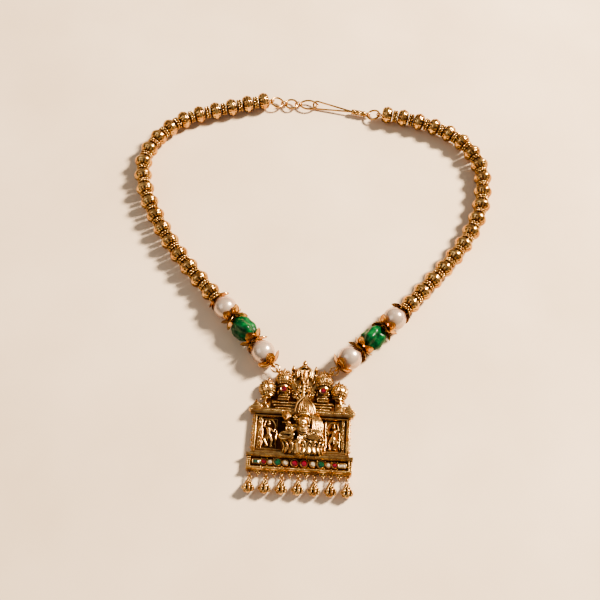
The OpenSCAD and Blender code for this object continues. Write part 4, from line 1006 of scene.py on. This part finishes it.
dress = []
for x, y, dip in ((1.7, 6.2, 1.0), (1.9, 5.7, 1.4), (2.1, 5.1, 1.6)):
    dress.append(wire(seated((-x, y, 4.8), (-0.6 * x, y - 0.7 * dip, 5.6), (0, y - dip, 5.9),
                             (0.6 * x, y - 0.7 * dip, 5.7), (x, y, 5.0)), 0.42))
for k in range(6):
    r = 0.5 + 0.52 * k
    turns = [radians(70 * k + 33 * j) for j in range(10)]
    curl = [(3.3 + 1.1 * r * cos(a), 3.75 + 0.8 * r * sin(a), 6.2 - 0.26 * k) for a in turns]
    dress.append(wire(seated(*curl), 0.46))
dress.append(ball(1.1, *seated((3.5, 4.1, 6.1)), 12, 8))
for k in range(7):
    out = 0.5 * k
    fold = seated((2.2 + 0.3 * out, 12.9 - 0.5 * out, 4.4 - 0.2 * out), (3.0 + out, 10.2, 4.9 - 0.2 * out),
                  (3.4 + 1.2 * out, 7.4, 5.1 - 0.3 * out),
                  (2.7 + 1.2 * out, 4.6 - 0.2 * out, 5.4 - 0.4 * out))
    dress.append(wire(fold, 0.5))
rim = [(-8.5, 3.8, 3.7), (-7.3, 4.8, 4.0), (-5.0, 4.5, 4.6), (-2.8, 3.8, 4.9), (-4.4, 2.7, 4.8),
       (-6.5, 1.9, 4.5), (-8.3, 2.5, 3.9)]
dress.append(wire(seated(*rim), 0.8, True))
inner_rim = [(0.72 * (x + 5.8) - 5.8, 0.62 * (y - 3.4) + 3.4, z) for x, y, z in rim]
dress.append(wire(seated(*inner_rim), 0.35, True))
for k in range(4):
    x = -2.2 + 0.5 * k
    fold = seated((x + 0.9, 3.4, 5.2), (x + 0.3, 2.2, 5.6), (x + 0.1, 1.2, 5.5), (x, 0.4, 5.2))
    dress.append(wire(fold, 0.34))
for k, lean in enumerate((34, -34, 18, -18, 0)):
    turn = radians(lean)
    at = seated((-6.3 - 1.1 * sin(turn), 9.7 + 1.2 * cos(turn), 3.4 + 0.12 * k))[0]
    dress.append(leaf(at, 3.9, 1.7, lean, -6))
dress.append(wire(seated((-7.6, 9.0, 2.6), (-6.2, 8.3, 3.9), (-4.9, 8.8, 3.0)), 0.6))
for at, radius, thick in (((-5.1, 5.7, 5.0), 1.05, 0.34), ((-4.2, 5.5, 4.4), 0.85, 0.22),
                          ((-5.6, 8.4, 2.9), 0.75, 0.22)):
    dress.append(wire_ring(radius, thick, *seated(at)))
for at, d in (((-5.1, 5.7, 5.2), 1.1), ((-2.3, 6.9, 4.9), 1.1), ((1.7, 6.9, 5.0), 1.1),
              ((-2.35, 8.0, 5.0), 0.8), ((1.8, 8.0, 5.1), 0.8), ((6.8, 3.3, 4.4), 1.0),
              ((6.2, 2.2, 4.6), 1.0), ((7.3, 2.3, 4.0), 0.9)):
    dress.append(ball(d, *seated(at), 12, 8))
riveted("goddess_body", [body, *dress])

# Lotus. Arched petals with raised rims stand round the seat like a bowl, and a small open flower carries the
# foot; all are part of the same casting.
petal_arch = [(-0.35, 0), (-0.85, 0.3), (-0.95, 0.65), (-0.6, 0.92), (0, 1), (0.6, 0.92), (0.95, 0.65),
              (0.85, 0.3), (0.35, 0)]
petals = []
for k in range(9):
    turn = radians(-74 + 18.5 * k)
    side, out = Vector((cos(turn), 0, -sin(turn))), Vector((sin(turn), 0, cos(turn)))
    low = Vector((5.9 * sin(turn), -3.2 + 1.9 * (1 - cos(turn)), 1.3 + 2.1 * cos(turn)))
    high = Vector((7.7 * sin(turn), 1.4 + 0.5 * (1 - cos(turn)), 1.7 + 3.2 * cos(turn)))
    for scale, thick, lift in ((1, 0.62, 0.3), (0.45, 0.4, 0.4)):
        arc = [low.lerp(high, 0.5 + scale * (v - 0.5)) + 1.22 * scale * u * side + lift * out
               for u, v in petal_arch]
        petals.append(wire(seated(*arc), thick))
    leaf_body = lump(*seated(low.lerp(high, 0.5)), (2.5, 4.8, 1.1), (-12, degrees(turn), 0))
    smooth(60)
    petals.append(leaf_body)
for k in range(7):
    angle = (k - 3) * 27
    turn = radians(angle)
    at = seated((2.0 * sin(turn) - 0.6, -2.7 - 0.7 * cos(turn), 2.4 + 0.6 * cos(turn)))[0]
    petals.append(leaf(at, 2.0, 1.15, 180 + angle, -20))
for x in (-2.0, -0.9, 0.3, 1.3):
    petals.append(ball(0.95, *seated((x, -2.6, 3.9)), 10, 7))
riveted("lotus_petals", petals)

# Crown. A tall pointed hood with chased ridges rises over the brow from a beaded band, with a bright boss in
# front; it is cast with the figure and leans a little.
hood = fused([swelling((0.1, 13.6, 2.7), (6.9, 8.6, 4.8)),
              member((0, 15.4, 3.2), (-0.3, 18.7, 3.2), 3.6, 0.9),
              swelling((0.1, 11.6, 3.6), (5.4, 3.4, 4.2)),
              member((1.4, 15.3, 3.1), (-0.1, 18.3, 3.2), 2.4, 0.9)], 0.16, 0.5)
crown_parts = [hood]
for k in range(-4, 5):
    fall = 0.055 * k * k
    ridge = seated((-0.3, 18.8, 3.6), (0.33 * k, 17.0, 4.7 - fall),
                   (0.72 * k + 0.1, 14.3, 5.35 - 1.6 * fall), (0.74 * k + 0.1, 11.9, 5.7 - 2 * fall))
    crown_parts.append(wire(ridge, 0.5))
for way in (-1, 1):
    rim = seated((-0.3, 19.1, 3.6), (-0.2 + way * 1.9, 17.3, 3.9), (way * 3.4, 14.9, 3.9),
                 (0.1 + way * 3.6, 12.7, 3.5))
    crown_parts.append(wire(rim, 0.85))
for k in range(9):
    share = (k - 4) / 4
    at = (2.3 * share - 0.1, 10.7 + 0.5 * (1 - share * share), 6.0 - 1.3 * share * share)
    crown_parts.append(ball(0.7, *seated(at), 10, 7))
crown_parts.append(ball(1.6, *seated((0.1, 13.2, 5.7)), 16, 10))
for way in (-1, 1):
    at = Vector(*seated((way * 2.7 - 0.2, 10.2, 4.3)))
    crown_parts.append(ball(1.2, at, 12, 8))
    for angle in range(0, 360, 60):
        turn = radians(angle)
        crown_parts.append(ball(0.66, at + Vector((0.8 * cos(turn), 0.8 * sin(turn), 0))))
riveted("tall_crown", crown_parts)


# Drops. Seven little cones built up of brass granules under an eye, widening to larger balls round one big
# ball; each swings on a jump ring.
granule_rows = ((0.95, 4, 0.36, 0.66), (1.45, 5, 0.6, 0.72), (2.05, 6, 0.85, 0.78), (2.65, 7, 1.1, 0.82),
                (3.3, 8, 1.35, 0.88), (4.1, 7, 1.7, 1.35), (4.8, 5, 1.35, 1.2))
cone = turned([(0.3, 0.7), (0.36, 1.2), (1.2, 4.2), (1.0, 4.6), (0.4, 4.9)], 16)
smooth()
granules = [cone, ball(2.0, (0, 0, 5.06), 16, 12)]
for k, (height, count, ring, size) in enumerate(granule_rows):
    granules += copies(ball(size, segments=9, rings=7), ring_places(count, ring, height, 0.5 * k))
cluster = joined("cluster", granules)
DROP_TILT = asin((2.43 - EYE_Z) / 4.7)
cluster.matrix_world = Matrix.Rotation(pi / 2 - DROP_TILT, 4, "X")
drop = joined("drop", [cluster, wire_ring(0.65, 0.18, around=24, across=10)])
for k in range(7):
    place = Matrix.Translation(((k - 3) * DROP_PITCH * MM, -24.91 * MM, EYE_Z * MM))
    twin = copies(drop, [place], keep=True)
    fitted(joined(f"granule_drop_{k + 1}", twin), antique_gold, "antique_gold", f"drop_{k + 1}")
bpy.data.objects.remove(drop)


# Wires, rings and clasp. Drawn gilt wire: jump rings, links, the stringing wires with their end loops, and
# the clasp of round rings, a pointed eye and a hook with a coiled sleeve. All keep the forms of the solids.
def smooth_copy(name, finish, slot, *nodes):
    """Stands for solids with their own forms, with shared points and smooth faces."""
    parts = []
    for node in nodes:
        part = bpy.data.objects.new(name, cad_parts[node].data.copy())
        bpy.context.collection.objects.link(part)
        parts.append(part)
    piece = joined(name, parts)
    opened_up()
    bpy.ops.mesh.remove_doubles(threshold=0.0005 * MM)
    bpy.ops.object.mode_set(mode="OBJECT")
    smooth(35)
    return fitted(piece, finish, slot, *nodes)


wire_gold = gold_finish("wire_gold", (0.70, 0.43, 0.18), (0.48, 0.25, 0.09), (0.06, 0.02, 0.008),
                        0.9 * MM, 0.2)
smooth_copy("jump_rings", wire_gold, "antique_gold", "drop_rings")
for side in ("left", "right"):
    smooth_copy(f"strand_link_{side}", wire_gold, "wire", f"pendant_link_{side}")
    smooth_copy(f"stringing_wire_{side}", wire_gold, "wire", f"thread_{side}")
for name in ("clasp_ring_1", "clasp_ring_2", "clasp_ring_3", "clasp_links", "clasp_eye", "clasp_hook"):
    smooth_copy(f"{name}_wire", wire_gold, "clasp_gold", name)


# Stones. Small synthetic rubies, green and clear stones and two dark glass baguettes, cut with flat facets
# and set in the bezels; they keep the solids' facets.
def stone_finish(name, deep, light, clear):
    """Cut stone: deep colour with lighter flashes inside, glossy, partly clear."""
    material, shader, place = new_finish(name)
    flash = noise(place, 0.7 * MM)
    scratches = noise(place, 0.3 * MM, 3)
    feed(shader, {
        "Base Color": ramp(flash, (0.38, deep), (0.66, light)),
        "Roughness": span(flash, 0.3, 0.7, 0.04, 0.14),
        "Transmission Weight": clear,
        "IOR": 1.7,
        "Coat Weight": 0.6,
        "Coat Roughness": 0.04,
        "Normal": relief((scratches, 0.01 * MM, 0.25))
    })
    return material


ruby = stone_finish("ruby", (0.05, 0.0, 0.004), (0.26, 0.004, 0.022), 0.15)
green_glass = stone_finish("green_stone", (0.0, 0.018, 0.007), (0.002, 0.09, 0.035), 0.15)
dark_glass = stone_finish("dark_green_glass", (0.004, 0.02, 0.012), (0.02, 0.08, 0.045), 0.1)
clear_glass = stone_finish("clear_stone", (0.34, 0.25, 0.16), (0.72, 0.62, 0.50), 0.35)
stones_outwards = ((ruby, "ruby"), (clear_glass, "clear_stone"), (green_glass, "green_stone"),
                   (clear_glass, "clear_stone"), (ruby, "ruby"), (clear_glass, "clear_stone"))


def stone_copy(node, finish, slot):
    """Stands for a cut stone with its own facets."""
    piece = bpy.data.objects.new(f"{node}_cut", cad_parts[node].data.copy())
    bpy.context.collection.objects.link(piece)
    fitted(joined(f"{node}_cut", [piece]), finish, slot, node)


for k in range(1, 13):
    rank = 6 - k if k <= 6 else k - 7
    finish, slot = (dark_glass, "dark_green_glass") if k == 1 else stones_outwards[rank]
    stone_copy(f"base_stone_{k}", finish, slot)
for side in ("left", "right"):
    stone_copy(f"dome_ruby_{side}", ruby, "ruby")


# Studio. A pale plain floor, one warm soft light from behind on the right, a weak fill and a plain sky; the
# camera stands where the photograph was taken from.
bpy.ops.mesh.primitive_plane_add(size=3, location=(0, 0, cad_box[0].z))
floor = bpy.context.object
floor.name = "floor"
floor_finish, shader, place = new_finish("pale_floor")
clouds = noise(place, 70 * MM, 4)
feed(shader, {"Base Color": ramp(clouds, (0.3, (0.74, 0.585, 0.435)), (0.7, (0.86, 0.70, 0.54))),
              "Roughness": 0.75, "Specular IOR Level": 0.25})
floor.data.materials.append(floor_finish)

LOOK_AT = Vector((-3.66, 48.07, 0)) * MM
EYE_DISTANCE = 336.4 * MM
EYE_HEIGHT = radians(60)
EYE_TURN = radians(3.4)
eye_way = Vector((sin(EYE_TURN) * cos(EYE_HEIGHT), -cos(EYE_TURN) * cos(EYE_HEIGHT),
                  sin(EYE_HEIGHT)))


def lamp(name, azimuth, height, distance, size, power, colour):
    """Square soft light that faces the necklace; azimuth 0 is towards +X, 90 towards +Y."""
    a, h = radians(azimuth), radians(height)
    way = Vector((cos(a) * cos(h), sin(a) * cos(h), sin(h)))
    bpy.ops.object.light_add(type="AREA", location=LOOK_AT + way * distance)
    light = bpy.context.object
    light.name = name
    light.data.size = size
    light.data.energy = power
    light.data.color = colour
    light.rotation_mode = "QUATERNION"
    light.rotation_quaternion = way.to_track_quat("Z", "Y")


lamp("key_light", 30, 40, 1.5, 0.26, 82, (1, 0.86, 0.68))
lamp("fill_light", 200, 50, 1.6, 1.0, 4, (1, 0.95, 0.9))
world = bpy.data.worlds.new("room")
bpy.context.scene.world = world
world.use_nodes = True
sky = world.node_tree.nodes["Background"]
sky.inputs["Color"].default_value = (1, 0.93, 0.85, 1)
sky.inputs["Strength"].default_value = 0.3
bpy.context.scene.view_settings.look = "AgX - Medium High Contrast"

bpy.ops.object.camera_add(location=LOOK_AT + eye_way * EYE_DISTANCE)
camera = bpy.context.object
camera.name = "camera"
camera.data.lens = 51.48
camera.data.sensor_width = 36
camera.data.clip_start = 0.01
camera.rotation_mode = "QUATERNION"
camera.rotation_quaternion = eye_way.to_track_quat("Z", "Y")
bpy.context.scene.camera = camera
